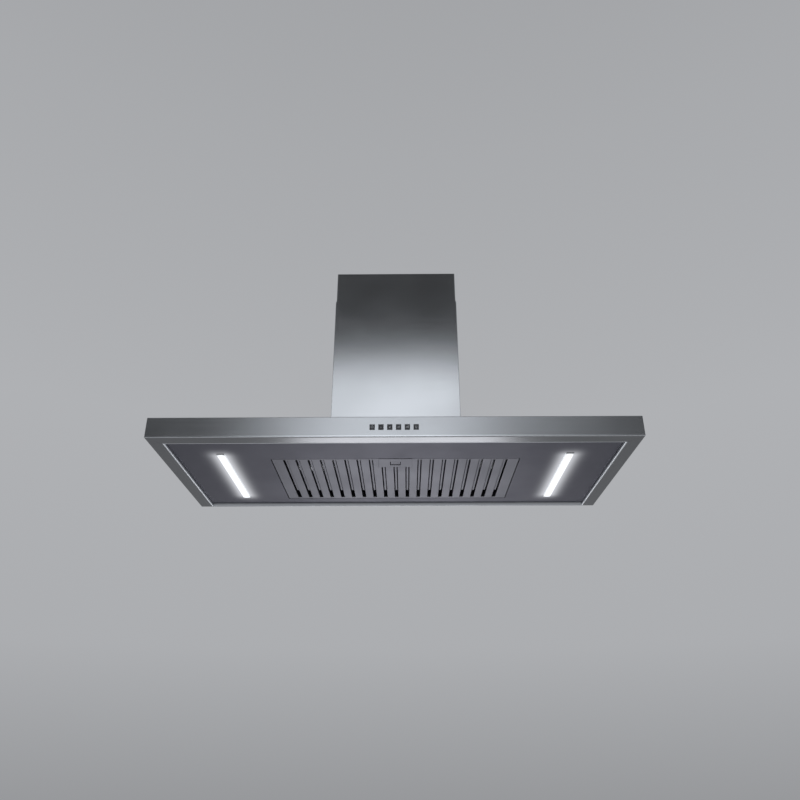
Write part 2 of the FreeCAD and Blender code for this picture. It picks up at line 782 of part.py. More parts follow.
def build_outlet_collar():
    """A flanged round spigot with four trunnion holes and two arcs of ledge that the shut flaps lie on."""
    centre = ("0", "outlet_y")
    flange = cylinder("collar_flange", "z", (*centre, "airbox_top"), "outlet_flange", "sheet")
    tall = "outlet_length + sheet"
    spigot = cylinder("collar_spigot", "z", (*centre, "airbox_top"), "outlet_radius", tall)
    bore = cylinder("collar_bore", "z", (*centre, "airbox_top"), "outlet_radius - outlet_wall", tall)
    walls = cut("collar_walls", fuse("collar_solid", flange, spigot), bore)
    ring = tube("collar_ledge_ring", "z", (*centre, "flap_level - flap_sheet/2 - 2.2"),
                "outlet_radius - outlet_wall", "stop_radius", "2")
    gap = block("collar_ledge_gap", ("-outlet_radius", "outlet_radius"), ("outlet_y - 12", "outlet_y + 12"),
                ("flap_level - 10", "flap_level"))
    ledge = cut("collar_ledge", ring, gap)
    pivots = []
    for i, side in enumerate((-1, 1)):
        start = ("-outlet_radius", f"outlet_y + {side} * flap_offset", "flap_level")
        pivots.append(cylinder(f"collar_pivot_{i}", "x", start, "flap_pin + 0.1", "2 * outlet_radius"))
    node(cut("outlet_collar", fuse("collar_body", walls, ledge), *pivots), "outlet_collar")


def build_damper_flaps():
    """Two half-round moulded flaps, each with a knuckle and trunnions on its straight edge."""
    for name, side in (("front", -1), ("rear", 1)):
        hinge_y = f"outlet_y + {side} * flap_offset"
        disc = cylinder(f"flap_{name}_disc", "z", ("0", "outlet_y", "flap_level - flap_sheet/2"),
                        "flap_radius", "flap_sheet")
        keep = ("outlet_y - flap_radius", hinge_y) if side < 0 else (hinge_y, "outlet_y + flap_radius")
        half = block(f"flap_{name}_half", ("-flap_radius", "flap_radius"), keep,
                     ("flap_level - flap_sheet", "flap_level + flap_sheet"))
        plate = doc.addObject("Part::MultiCommon", f"flap_{name}_plate")
        plate.Shapes = [disc, half]
        knuckle = cylinder(f"flap_{name}_knuckle", "x", ("-flap_knuckle_half", hinge_y, "flap_level"),
                           "flap_knuckle - 0.2", "2 * flap_knuckle_half")
        reach = "outlet_radius - 0.6"
        pins = cylinder(f"flap_{name}_trunnions", "x", (f"-({reach})", hinge_y, "flap_level"), "flap_pin",
                        f"2 * ({reach})")
        node(fuse(f"damper_flap_{name}", plate, knuckle, pins), f"damper_flap_{name}")


# ---------------------------------------------------------------- blower
def scroll_outline(inset):
    """The volute in the YZ plane: a growing spiral round the wheel that opens upward into the outlet."""
    middle_y, middle_z = size("blower_y"), size("blower_z")
    tongue, throat = size("tongue_radius") - inset, size("throat_radius") - inset
    start, turns = math.radians(size("tongue_angle")), 40
    spiral = []
    for i in range(turns + 1):
        share = i / turns
        angle = start + share * (2 * math.pi - start)
        radius = tongue + share * (throat - tongue)
        spiral.append(Vector(0, middle_y + radius * math.cos(angle), middle_z + radius * math.sin(angle)))
    curve = Part.BSplineCurve()
    curve.interpolate(spiral)
    top = number("airbox_top - sheet")
    rear = Vector(0, number("outlet_y + outlet_radius - outlet_wall") - inset, top)
    front = Vector(0, number("outlet_y - outlet_radius + outlet_wall") + inset, top)
    corners = [spiral[-1], rear, front, spiral[0]]
    lines = [Part.LineSegment(a, b).toShape() for a, b in zip(corners, corners[1:])]
    return Part.Face(Part.Wire([curve.toShape()] + lines))


def along_x(radius, low, high):
    """A cylinder round the blower's axis, from one X to another."""
    start = Vector(low, size("blower_y"), size("blower_z"))
    return Part.makeCylinder(radius, high - low, start, Vector(1, 0, 0))


def ring_along_x(outer, inner, low, high):
    return along_x(outer, low, high).cut(along_x(inner, low, high))


def on_circle(radius, degrees):
    """Y and Z of a point on a circle round the blower's axis."""
    angle = math.radians(degrees)
    return size("blower_y") + radius * math.cos(angle), size("blower_z") + radius * math.sin(angle)


def bolt_along_x(radius, circle, degrees, low, high):
    y, z = on_circle(circle, degrees)
    return Part.makeCylinder(radius, high - low, Vector(low, y, z), Vector(1, 0, 0))


def blower_screw(circle, degrees, seat, grip):
    """A pan-head screw along X whose head stands on a seat that faces +X."""
    top = seat + size("head_height")
    shank = bolt_along_x(size("screw_radius"), circle, degrees, seat - grip, seat)
    head = bolt_along_x(size("head_radius"), circle, degrees, seat, top)
    socket = bolt_along_x(size("socket_radius"), circle, degrees, top - size("socket_depth"), top)
    return shank.fuse(head).cut(socket)


SCROLL_EARS = (150, 215, 300)
MOUNT_ANGLES = (90, 210, 330)
SPIDER_SCREWS = (30, 150, 270)


def ear_circle(degrees):
    """How far from the blower's axis a screw ear stands, just outside the spiral."""
    share = (degrees - size("tongue_angle")) / (360 - size("tongue_angle"))
    return size("tongue_radius") + share * (size("throat_radius") - size("tongue_radius")) + size("ear_offset")


def build_scrolls():
    """The two halves of the volute, each with a short inlet nozzle and three screw ears."""
    half, wall, inlet = size("scroll_half"), size("scroll_wall"), size("inlet_radius")
    hole = size("screw_radius") + size("screw_gap")
    skin = scroll_outline(0)
    hollow = scroll_outline(wall)
    for name, sign in (("left", -1), ("right", 1)):
        shell = skin.extrude(Vector(sign * half, 0, 0))
        shell = shell.cut(hollow.extrude(Vector(sign * (half - wall), 0, 0)))
        mouth = sorted((sign * (half - size("inlet_depth")), sign * half))
        shell = shell.fuse(along_x(inlet, *mouth)).cut(along_x(inlet - wall, *mouth))
        inner = sorted((0, sign * size("ear_width")))
        for degrees in SCROLL_EARS:
            circle = ear_circle(degrees)
            ear = bolt_along_x(size("ear_radius"), circle, degrees, *inner)
            shell = shell.fuse(ear.cut(skin.extrude(Vector(sign * half, 0, 0))))
            shell = shell.cut(bolt_along_x(hole, circle, degrees, *inner))
        if sign > 0:
            circle = inlet + size("inlet_screw_offset")
            for degrees in SPIDER_SCREWS:
                shell = shell.cut(bolt_along_x(hole, circle, degrees, half - wall, half))
        feature(f"scroll_{name}", shell.removeSplitter())


def build_scroll_screws():
    """Three screws through the ears, each with a nut on the left half."""
    ear, nut_height = size("ear_width"), size("scroll_nut")
    screws = []
    for degrees in SCROLL_EARS:
        circle = ear_circle(degrees)
        nut = bolt_along_x(size("head_radius"), circle, degrees, -ear - nut_height, -ear)
        screws.append(blower_screw(circle, degrees, ear, 2 * ear + nut_height).fuse(nut))
    feature("scroll_screws", Part.makeCompound(screws))


def build_impeller():
    """A double-inlet forward-curved wheel: a centre disc with a hub, blades each side and two end rings."""
    radius, half, ring = size("wheel_radius"), size("wheel_half"), size("wheel_ring")
    root = radius - size("blade_depth")
    thick, count = size("blade_sheet"), int(size("blade_count"))
    disc = ring_along_x(radius, size("shaft_radius"), -1, 1)
    hub = ring_along_x(12, size("shaft_radius"), -14, 8)
    rings = [ring_along_x(radius, root, half - ring, half), ring_along_x(radius, root, -half, ring - half)]
    inner, outer = root + 0.5, radius - 0.5
    lean = math.radians(size("blade_lean"))
    centre = Vector(0, size("blower_y"), size("blower_z"))

    def curve_point(r, side):
        """A point of the blade's section: it leans forward as it leaves the root."""
        share = (r - inner) / (outer - inner)
        angle = lean * share * share + side * thick / 2 / r
        return centre + Vector(ring / 2 - half, r * math.cos(angle), r * math.sin(angle))

    middle = (inner + outer) / 2
    faces = [Part.Arc(*[curve_point(r, s) for r in (inner, middle, outer)]).toShape() for s in (-1, 1)]
    ends = [Part.LineSegment(curve_point(r, -1), curve_point(r, 1)).toShape() for r in (inner, outer)]
    wire = Part.Wire(Part.__sortEdges__([faces[0], ends[1], faces[1], ends[0]]))
    blade = Part.Face(wire).extrude(Vector(2 * half - ring, 0, 0))
    blades = []
    for i in range(count):
        turned = blade.copy()
        turned.rotate(centre, Vector(1, 0, 0), i * 360 / count)
        blades.append(turned)
    windows = [bolt_along_x(8, 36, degrees, -1, 1) for degrees in range(0, 360, 60)]
    wheel = disc.cut(windows).fuse([hub] + rings + blades)
    feature("impeller", wheel)


def build_motor():
    """The motor sits inside the wheel's right half, hung from a three-arm spider on the inlet."""
    inner, outer, can = size("motor_inner_end"), size("motor_outer_end"), size("motor_radius")
    wall, bearing, width = size("motor_wall"), size("bearing_radius"), size("bearing_width")
    shaft = size("shaft_radius")
    passage = shaft + 1
    housing = ring_along_x(can, passage, inner, outer)
    housing = housing.cut(along_x(can - wall, inner + wall, outer - wall))
    seats = [(inner + wall, inner + wall + width), (outer - wall - width, outer - wall)]
    for seat in seats:
        housing = housing.fuse(ring_along_x(bearing + 1.5, bearing, *seat))
    for degrees in MOUNT_ANGLES:
        hole = bolt_along_x(size("screw_radius"), size("mount_circle"), degrees, outer - wall, outer)
        housing = housing.cut(hole)
    for degrees in range(15, 375, 30):
        slot = bolt_along_x(2.5, can - 12, degrees, inner, inner + wall)
        housing = housing.cut(slot)
    feature("motor_housing", housing.removeSplitter())

    core = (inner + 14, outer - 14)
    stator = ring_along_x(can - wall, size("stator_inner"), *core)
    for degrees in range(0, 360, 30):
        y, z = on_circle(32, degrees)
        slot = Part.makeBox(core[1] - core[0], 9, 5, Vector(core[0], y - 4.5, z - 2.5))
        slot.rotate(Vector(core[0], y, z), Vector(1, 0, 0), degrees)
        stator = stator.cut(slot)
    coils = [ring_along_x(can - wall - 5, size("stator_inner") + 3, *ends)
             for ends in ((core[0] - 3, core[0]), (core[1], core[1] + 3))]
    feature("motor_stator", stator.fuse(coils))
    feature("motor_rotor", ring_along_x(size("rotor_radius"), shaft, *core))
    rod = along_x(shaft, -14, outer + 4)
    round_ends = [edge for edge in rod.Edges if edge.Length < 7 * shaft and edge.Closed]
    feature("motor_shaft", rod.makeChamfer(0.6, round_ends))
    bearings = []
    for low, high in seats:
        race = ring_along_x(bearing, shaft + size("bearing_gap"), low, high)
        groove = Part.makeTorus((bearing + shaft) / 2, 1.2, Vector(low, size("blower_y"), size("blower_z")),
                                Vector(1, 0, 0))
        bearings.append(race.cut(groove))
    feature("motor_bearings", Part.makeCompound(bearings))

    plate = size("scroll_half")
    face = plate + size("spider_sheet")
    circle, rim = size("mount_circle"), size("spider_rim")
    inlet_circle = size("inlet_radius") + size("inlet_screw_offset")
    reach = size("inlet_radius") + rim
    spider = ring_along_x(reach, size("inlet_radius") - 1, plate, face)
    hub = ring_along_x(circle + rim, circle - rim, plate, face)
    axis_point = Vector(plate, size("blower_y"), size("blower_z"))
    arms = []
    for degrees in MOUNT_ANGLES:
        arm = Part.makeBox(face - plate, reach - circle, size("spider_arm"),
                           axis_point + Vector(0, circle, -size("spider_arm") / 2))
        arm.rotate(axis_point, Vector(1, 0, 0), degrees)
        arms.append(arm)
    outside = ring_along_x(reach + rim, reach, plate, face)
    spider = spider.fuse([hub] + arms).cut(outside)
    for degrees in MOUNT_ANGLES:
        spider = spider.cut(bolt_along_x(size("mount_neck"), circle, degrees, plate, face))
    for degrees in SPIDER_SCREWS:
        hole = size("screw_radius") + size("screw_gap")
        spider = spider.cut(bolt_along_x(hole, inlet_circle, degrees, plate, face))
    feature("motor_spider", spider.removeSplitter())

    mounts, bolts = [], []
    seat = face + size("mount_lip")
    for degrees in MOUNT_ANGLES:
        rubber = bolt_along_x(size("mount_radius"), circle, degrees, outer, plate)
        rubber = rubber.fuse([bolt_along_x(size("mount_neck"), circle, degrees, plate, face),
                              bolt_along_x(size("mount_radius"), circle, degrees, face, seat)])
        mounts.append(rubber.cut(bolt_along_x(size("screw_radius"), circle, degrees, outer, seat)))
        bolts.append(blower_screw(circle, degrees, seat, seat - outer + 2 * wall))
    for degrees in SPIDER_SCREWS:
        bolts.append(blower_screw(inlet_circle, degrees, face, 7))
    feature("motor_mounts", Part.makeCompound(mounts))
    feature("motor_fasteners", Part.makeCompound(bolts))


# ---------------------------------------------------------------- electrics
def build_capacitor():
    """The motor's run capacitor stands on the airbox's left wall in a strap clamp."""
    radius, length = size("capacitor_radius"), size("capacitor_length")
    inner_wall = number("sheet - airbox_half")
    strap, tall = size("strap_sheet"), size("strap_height")
    centre = Vector(inner_wall + radius + strap, size("capacitor_y"), size("capacitor_low"))
    can = Part.makeCylinder(radius, length, centre).fuse(
        [Part.makeCylinder(radius - 2, 3, centre + Vector(0, 0, length)),
         Part.makeBox(6, 0.8, 9, centre + Vector(-9, -0.4, length + 3)),
         Part.makeBox(6, 0.8, 9, centre + Vector(3, -0.4, length + 3))])
    feature("capacitor", can)
    band = centre + Vector(0, 0, (length - tall) / 2)
    loop = Part.makeCylinder(radius + strap, tall, band)
    saddle = Part.makeBox(radius + strap, 2 * radius, tall, Vector(inner_wall, centre.y - radius, band.z))
    foot = Part.makeBox(strap, 2 * radius + 20, tall, Vector(inner_wall, centre.y - radius - 10, band.z))
    feature("capacitor_clamp", loop.fuse([saddle, foot]).cut(Part.makeCylinder(radius, tall, band)))


def build_terminal_box():
    """The mains box on the airbox's right side, with its cover, terminal block and cable gland."""
    y, z = ("terminal_front", "terminal_rear"), ("terminal_low", "terminal_high")
    lid = "airbox_half + terminal_depth"
    shell = block("terminal_shell", ("airbox_half", lid), y, z)
    hollow = block("terminal_hollow", ("airbox_half + terminal_wall", lid),
                   ("terminal_front + terminal_wall", "terminal_rear - terminal_wall"),
                   ("terminal_low + terminal_wall", "terminal_high - terminal_wall"))
    gland_x, gland_y = "airbox_half + terminal_depth/2", "gland_y"
    gland_hole = cylinder("terminal_gland_hole", "z", (gland_x, gland_y, f"{z[1]} - terminal_wall"),
                          "gland_radius + 2", "terminal_wall")
    cable_holes = [cylinder(f"terminal_cable_hole_{i}", "x", ("airbox_half", y_hole, CABLE_HOLE_LEVEL),
                            "2 * cable_radius", "terminal_wall") for i, y_hole in enumerate(CABLE_HOLES)]
    node(cut("terminal_box", shell, hollow, gland_hole, *cable_holes), "terminal_box")
    cover = block("terminal_cover_plate", (lid, f"{lid} + terminal_wall"), y, z)
    corners = [(y_screw, z_screw) for y_screw in ("terminal_front + 6", "terminal_rear - 6")
               for z_screw in ("terminal_low + 6", "terminal_high - 6")]
    holes = [cylinder(f"terminal_cover_hole_{i}", "x", (lid, *corner), "socket_radius", "terminal_wall")
             for i, corner in enumerate(corners)]
    node(cut("terminal_box_cover", cover, *holes), "terminal_box_cover")
    floor = "airbox_half + terminal_wall"
    base = block("terminal_base", (floor, f"{floor} + strip_depth"), ("strip_front", "strip_rear"),
                 ("strip_low", "strip_high"))
    wells = []
    for i, along in enumerate(row_centres(DIMENSIONS["well_count"], "well_pitch")):
        start = (f"{floor} + strip_depth - well_depth", f"(strip_front + strip_rear)/2 + {along}",
                 "(strip_low + strip_high)/2")
        wells.append(cylinder(f"terminal_well_{i}", "x", start, "well_radius", "well_depth"))
    node(cut("terminal_block", base, *wells), "terminal_block")
    nut = doc.addObject("Part::Prism", "gland_hexagon")
    nut.Polygon = 6
    nut.setExpression("Circumradius", bound("gland_radius + 6"))
    nut.setExpression("Height", bound("gland_nut"))
    place(nut, gland_x, gland_y, z[1])
    root = (gland_x, gland_y, f"{z[1]} - terminal_wall")
    neck = cylinder("gland_neck", "z", root, "gland_radius + 2", "gland_length - 2")
    dome = doc.addObject("Part::Cone", "gland_dome")
    dome.setExpression("Radius1", bound("gland_radius + 4"))
    dome.setExpression("Radius2", bound("gland_radius + 2.5"))
    dome.setExpression("Height", bound("10"))
    place(dome, gland_x, gland_y, f"{z[1]} + 8")
    bore = cylinder("gland_bore", "z", root, "gland_radius", "gland_length")
    node(cut("cable_gland", fuse("gland_solid", nut, neck, dome), bore), "cable_gland")


def build_led_driver():
    """The lamp driver lies on top of the pan, left of the filter."""
    x, y = ("driver_left", "driver_right"), ("driver_front", "driver_rear")
    case = block("driver_case", x, y, ("panel_top", "panel_top + driver_height"))
    rounded = doc.addObject("Part::Fillet", "driver_rounded")
    rounded.Base = case
    doc.recompute()
    rounded.Edges = [(i, 2, 2) for i, e in enumerate(case.Shape.Edges, start=1)
                     if abs(e.tangentAt(e.FirstParameter).z) > 0.9]
    ends = (("driver_front - 8", "driver_front + 4"), ("driver_rear - 4", "driver_rear + 8"))
    width = ("driver_left + 26", "driver_left + 42")
    feet = [block(f"driver_foot_{i}", width, end, ("panel_top", "panel_top + 2"))
            for i, end in enumerate(ends)]
    sockets = block("driver_sockets", ("driver_right - 16", "driver_right"),
                    ("driver_front + 25", "driver_rear - 25"), ("panel_top + 10", "panel_top + 18"))
    node(cut("led_driver", fuse("driver_solid", rounded, *feet), sockets), "led_driver")


# ---------------------------------------------------------------- lamps
def build_lamps():
    """A folded housing, an LED board and a diffuser lens for each lamp."""
    for name, side in (("left", "-1"), ("right", "1")):
        centre = f"{side} * lamp_offset"

        def span(reach):
            return f"{centre} - ({reach})", f"{centre} + {reach}"

        part = body(f"lamp_housing_{name}")
        wide = "lamp_half + lamp_gap + sheet"
        ends = ("lamp_front - lamp_gap - sheet", "lamp_rear + lamp_gap + sheet")
        slab(part, f"housing_flange_{name}", ("panel_top", "panel_top + sheet"),
             rectangle(span(f"{wide} + 6"), (f"{ends[0]} - 6", f"{ends[1]} + 6")))
        slab(part, f"housing_block_{name}", ("panel_top + sheet", "panel_top + housing_height"),
             rectangle(span(wide), ends))
        opening(part, f"housing_hollow_{name}", ("panel_top", "panel_top + housing_height - sheet"),
                rectangle(span("lamp_half + lamp_gap"), ("lamp_front - lamp_gap", "lamp_rear + lamp_gap")))
        hole = outline(part, f"housing_cable_hole_{name}", "XZ_Plane", "0 - (lamp_rear + lamp_gap + sheet)",
                       rectangle(span("2*cable_radius"), ("panel_top + 5", "panel_top + 13")))
        pocket(part, hole, "sheet")

        board_low = "panel_top + housing_height - sheet - 4"
        board = block(f"lamp_board_{name}_strip", span("lamp_half - 1"),
                      ("lamp_front + 3", "lamp_rear - 3"), (board_low, f"{board_low} + board_sheet"))
        chips = []
        for i, along in enumerate(row_centres(DIMENSIONS["chip_count"], "chip_pitch")):
            run = (f"lamp_middle + {along} - chip_size/2", f"lamp_middle + {along} + chip_size/2")
            chips.append(block(f"lamp_chip_{name}_{i}", span("chip_size/2"), run,
                               (f"{board_low} - chip_height", board_low)))
        node(fuse(f"lamp_board_{name}", board, *chips), f"lamp_board_{name}")

        low, high = "recess - lens_proud", "recess - lens_proud + lens_height"
        plate = block(f"lens_{name}_block", span("lamp_half"), ("lamp_front", "lamp_rear"), (low, high))
        well = block(f"lens_{name}_well", span("lamp_half - lens_wall"),
                     ("lamp_front + lens_wall", "lamp_rear - lens_wall"), (f"{low} + lens_face", high))
        node(cut(f"lamp_lens_{name}", plate, well), f"lamp_lens_{name}")


# ---------------------------------------------------------------- push buttons
def build_controls():
    """A moulded box behind the front face guides the buttons and holds the switch board."""
    face = "front + sheet"
    back = f"{face} + control_depth"
    x, z = ("-control_half", "control_half"), ("control_low", "control_high")
    inner_z = ("control_low + control_wall", "control_high - control_wall")
    reach = "(button_pitch - control_wall)/2"
    shell = block("control_shell", x, (face, back), z)
    chambers = [block(f"control_chamber_{i}", (f"{c} - {reach}", f"{c} + {reach}"),
                      (face, f"{back} - control_wall"), inner_z) for i, c in enumerate(BUTTON_CENTRES)]
    tray = block("control_tray", ("control_wall - control_half", "control_half - control_wall"),
                 (f"{back} - 6", back), inner_z)
    node(cut("control_frame", shell, *chambers, tray), "control_frame")

    board_front = f"{back} - board_inset"
    inset = "control_wall + 0.3"
    board = block("control_board_plate", (f"{inset} - control_half", f"control_half - ({inset})"),
                  (board_front, f"{board_front} + board_sheet"),
                  (f"control_low + {inset}", f"control_high - ({inset})"))
    plug = block("control_board_plug", ("44", "58"), (f"{board_front} - 2.5", board_front), ("29", "36"))
    node(fuse("control_board", board, plug), "control_board")

    switches = []
    for i, c in enumerate(BUTTON_CENTRES):
        case = block(f"switch_case_{i}", (f"{c} - switch_half", f"{c} + switch_half"),
                     (f"{board_front} - switch_case", board_front),
                     ("button_level - switch_half", "button_level + switch_half"))
        tip = cylinder(f"switch_tip_{i}", "y", (c, f"{board_front} - switch_height", "button_level"), "1.6",
                       "switch_height - switch_case")
        switches.append(fuse(f"switch_{i}", case, tip))
    node(group("control_switches", switches), "control_switches")

    cover = block("control_cover_plate", x, (back, f"{back} + control_wall"), z)
    outlet = block("control_cover_outlet", ("60", "67"), (back, f"{back} + control_wall"), ("24", "31"))
    node(cut("control_cover", cover, outlet), "control_cover")

    for i, c in enumerate(BUTTON_CENTRES):
        part = body(f"button_{i + 1}")

        def rim(grow):
            wide, tall = f"button_width/2 + {grow}", f"button_height/2 + {grow}"
            return rectangle((f"{c} - ({wide})", f"{c} + {wide}"),
                             (f"button_level - ({tall})", f"button_level + {tall}"))

        cap = outline(part, f"cap_{i + 1}", "XZ_Plane", f"0 - ({face} + 1)", rim(0))
        pad(part, cap, "button_proud + sheet + 1")
        tip_y = number("front - button_proud")

        def is_front(middle, along):
            return abs(middle.y - tip_y) < 1e-6

        bend_edges(part, f"cap_edge_{i + 1}", "0.5", is_front)
        collar = outline(part, f"collar_{i + 1}", "XZ_Plane", f"0 - ({face} + 2)", rim(2))
        pad(part, collar, "1.4")
        stem_end = "control_depth - board_inset - switch_height - button_travel - 0.3"
        stem = circles(part, f"stem_{i + 1}", "XZ_Plane", f"0 - ({face} + {stem_end})", "2.5",
                       [(c, "button_level")])
        pad(part, stem, f"{stem_end} - 2")


# ---------------------------------------------------------------- baffle filter
def build_filter_frame():
    """A four-sided channel with flat borders, a slot for the latch bolt and two rear tabs it hangs on."""
    part = body("filter_frame")
    x = ("-filter_width/2", "filter_width/2")
    y = ("filter_front", "filter_rear")
    inner_x = ("sheet - filter_width/2", "filter_width/2 - sheet")
    inner_y = ("filter_front + sheet", "filter_rear - sheet")
    slab(part, "frame_block", ("recess", "filter_top"), rectangle(x, y))
    opening(part, "frame_hollow", ("recess + sheet", "filter_top - sheet"), rectangle(inner_x, inner_y))
    opening(part, "frame_window", ("recess", "recess + sheet"),
            rectangle(("-window_half", "window_half"), ("slot_front", "slot_rear")))
    opening(part, "frame_top_window", ("filter_top - sheet", "filter_top"),
            rectangle((f"{inner_x[0]} + filter_flange", f"{inner_x[1]} - filter_flange"),
                      (f"{inner_y[0]} + filter_flange", f"{inner_y[1]} - filter_flange")))
    slab(part, "frame_cross_bar", ("filter_top - sheet", "filter_top"),
         rectangle((f"{inner_x[0]} + sheet", f"{inner_x[1]} - sheet"),
                   ("trough_rear - filter_flange", "trough_rear")))
    opening(part, "frame_latch_notch", ("recess", "recess + sheet"),
            rectangle(("-latch_half - tab_gap", "latch_half + tab_gap"),
                      ("latch_front - tab_gap", "slot_front")))
    bolt_level = ("panel_top + tab_gap - 0.2", "panel_top + tab_gap + slider_sheet + 0.2")
    opening(part, "frame_bolt_slot", bolt_level,
            rectangle(("-bolt_half - 0.4", "bolt_half + 0.4"), ("filter_front", "filter_front + sheet")))
    slab(part, "frame_tabs", ("panel_top + tab_gap", "panel_top + tab_gap + sheet"),
         *[rectangle((f"{side} * tab_offset - tab_width/2", f"{side} * tab_offset + tab_width/2"),
                     ("filter_rear - sheet/2", "filter_rear + tab_reach")) for side in (-1, 1)])


def build_lower_baffles():
    """The channels seen from below: a flat web between two slots, with lips turned up at the slots."""
    channels = []
    keep_out = block("latch_space", ("-latch_half - tab_gap", "latch_half + tab_gap"),
                     ("slot_front", "latch_rear + tab_gap"), ("recess", "filter_top"))
    for i, (left, right) in enumerate(zip(SLOT_CENTRES, SLOT_CENTRES[1:])):
        x = (f"{left} + slot_side", f"{right} - slot_side")
        web = block(f"lower_web_{i}", x, ("slot_front", "slot_rear"), ("recess", "panel_top"))
        edges = ((x[0], f"{x[0]} + sheet"), (f"{x[1]} - sheet", x[1]))
        lips = [block(f"lower_lip_{i}_{k}", edge, ("slot_front", "slot_rear"),
                      ("recess", "recess + lower_lip_height")) for k, edge in enumerate(edges)]
        channel = fuse(f"lower_channel_{i}", web, *lips)
        middle = abs(number(left) + number(right)) / 2
        if middle < size("latch_half") + size("slot_pitch") / 2:
            channel = cut(f"lower_channel_short_{i}", channel, keep_out)
        channels.append(channel)
    node(group("filter_lower_baffles", channels), "filter_lower_baffles")


def build_upper_baffles():
    """A flared trough over each slot: air rises on both sides of it and drops its grease on the flanks."""
    part = body("filter_upper_baffles")
    low, top = "recess + trough_level", "filter_top - sheet"
    near_latch = [c for c in SLOT_CENTRES if abs(number(c)) < size("latch_half")]
    clear = [c for c in SLOT_CENTRES if c not in near_latch]

    def trough(centre):
        """Its section in XZ: a flat bottom and two leaning flanks."""
        right = [
            (f"{centre} + trough_bottom", low), (f"{centre} + trough_top", top),
            (f"{centre} + trough_top - trough_wall", top),
            (f"{centre} + trough_bottom - trough_wall/2", f"{low} + sheet"),
        ]
        left = [(u.replace(f"{centre} + ", f"{centre} - (") + ")", v) for u, v in reversed(right)]
        return right + left

    for name, centres, start in (("troughs", clear, "filter_front + sheet"),
                                 ("short_troughs", near_latch, "latch_rear + 2*sheet")):
        section = outline(part, name, "XZ_Plane", "0 - trough_rear", *[trough(c) for c in centres])
        pad(part, section, f"trough_rear - ({start})")


def build_latch():
    """A tray let into the filter's front edge, a sliding bolt with a finger lip, and its return spring."""
    part = body("filter_latch_plate")
    slab(part, "latch_floor", ("recess", "panel_top"),
         rectangle(("-latch_half", "latch_half"), ("latch_front", "latch_rear")))
    slab(part, "latch_walls", ("panel_top", "panel_top + latch_wall"),
         channel("latch_half - sheet", "sheet", ("latch_rear", "latch_rear - sheet"), "latch_front"))
    opening(part, "latch_pull", ("recess", "panel_top"),
            rectangle(("-pull_half", "pull_half"), ("pull_front", "pull_rear")))
    guide = "slider_half + 0.2"
    level = "panel_top + tab_gap + slider_sheet + 0.2"
    slab(part, "latch_guides", ("panel_top", level),
         rectangle((f"-({guide}) - 2", f"-({guide})"), ("latch_front + 6", "latch_rear - 9")),
         rectangle((guide, f"{guide} + 2"), ("latch_front + 6", "latch_rear - 9")))
    slab(part, "latch_keepers", (level, f"{level} + sheet"),
         rectangle((f"-({guide}) - 2", f"3 - ({guide})"), ("latch_front + 6", "latch_rear - 9")),
         rectangle((f"{guide} - 3", f"{guide} + 2"), ("latch_front + 6", "latch_rear - 9")))

    slide_level = ("panel_top + tab_gap", "panel_top + tab_gap + slider_sheet")
    plate = block("slider_plate", ("-slider_half", "slider_half"), ("latch_front + 5", "pull_rear"),
                  slide_level)
    bolt = block("slider_bolt", ("-bolt_half", "bolt_half"),
                 ("opening_front - bolt_reach", "latch_front + 5"), slide_level)
    pad_y = ("pull_front + 0.4", "pull_rear - latch_travel - 0.5")
    grip = block("slider_grip", ("pull_gap - pull_half", "pull_half - pull_gap"), pad_y,
                 ("recess", slide_level[0]))
    sides = [tuple(sorted((f"{side} * (pull_half - pull_gap)", f"{side} * pull_half"), key=number))
             for side in (-1, 1)]
    slots = [block(f"slider_slot_{i}", x, ("pull_front", "pull_rear - 2"), slide_level)
             for i, x in enumerate(sides)]
    node(cut("latch_slider", fuse("slider_solid", plate, bolt, grip), *slots), "latch_slider")

    length = number("latch_rear - sheet - pull_rear")
    radius, wire, turns = size("spring_radius"), size("spring_wire"), 6
    helix = Part.makeHelix((length - 2 * wire) / turns, length - 2 * wire, radius)
    section = Part.Wire(Part.Circle(Vector(radius, 0, 0), Vector(0, 1, 0), wire).toShape())
    coil = Part.Wire(helix.Edges).makePipeShell([section], True, True)
    start = Vector(0, size("pull_rear") + wire, number("panel_top + tab_gap + spring_radius + spring_wire"))
    feature("latch_spring", coil, Placement(start, AXES["y"]))


# ---------------------------------------------------------------- internal cables
def cable(points, radius, bend):
    """A round cable held along its route: straight runs joined by tangent arcs of one radius."""
    points = [Vector(*p) for p in points]
    edges, start = [], points[0]
    for before, corner, after in zip(points, points[1:], points[2:]):
        incoming = (corner - before).normalize()
        outgoing = (after - corner).normalize()
        turn = incoming.getAngle(outgoing)
        back = bend * math.tan(turn / 2)
        first, last = corner - incoming * back, corner + outgoing * back
        inward = (outgoing - incoming).normalize()
        middle = corner + inward * (bend / math.cos(turn / 2) - bend)
        if (first - start).Length > 1e-6:
            edges.append(Part.LineSegment(start, first).toShape())
        edges.append(Part.Arc(first, middle, last).toShape())
        start = last
    edges.append(Part.LineSegment(start, points[-1]).toShape())
    path = Part.Wire(edges)
    heading = (points[1] - points[0]).normalize()
    section = Part.Wire(Part.Circle(points[0], heading, radius).toShape())
    solid = path.makePipeShell([section], True, False)
    expected = math.pi * radius ** 2 * path.Length
    if abs(solid.Volume / expected - 1) > 0.01:
        sys.exit(f"cable volume {solid.Volume:.0f} for a route of {expected:.0f}")
    return solid


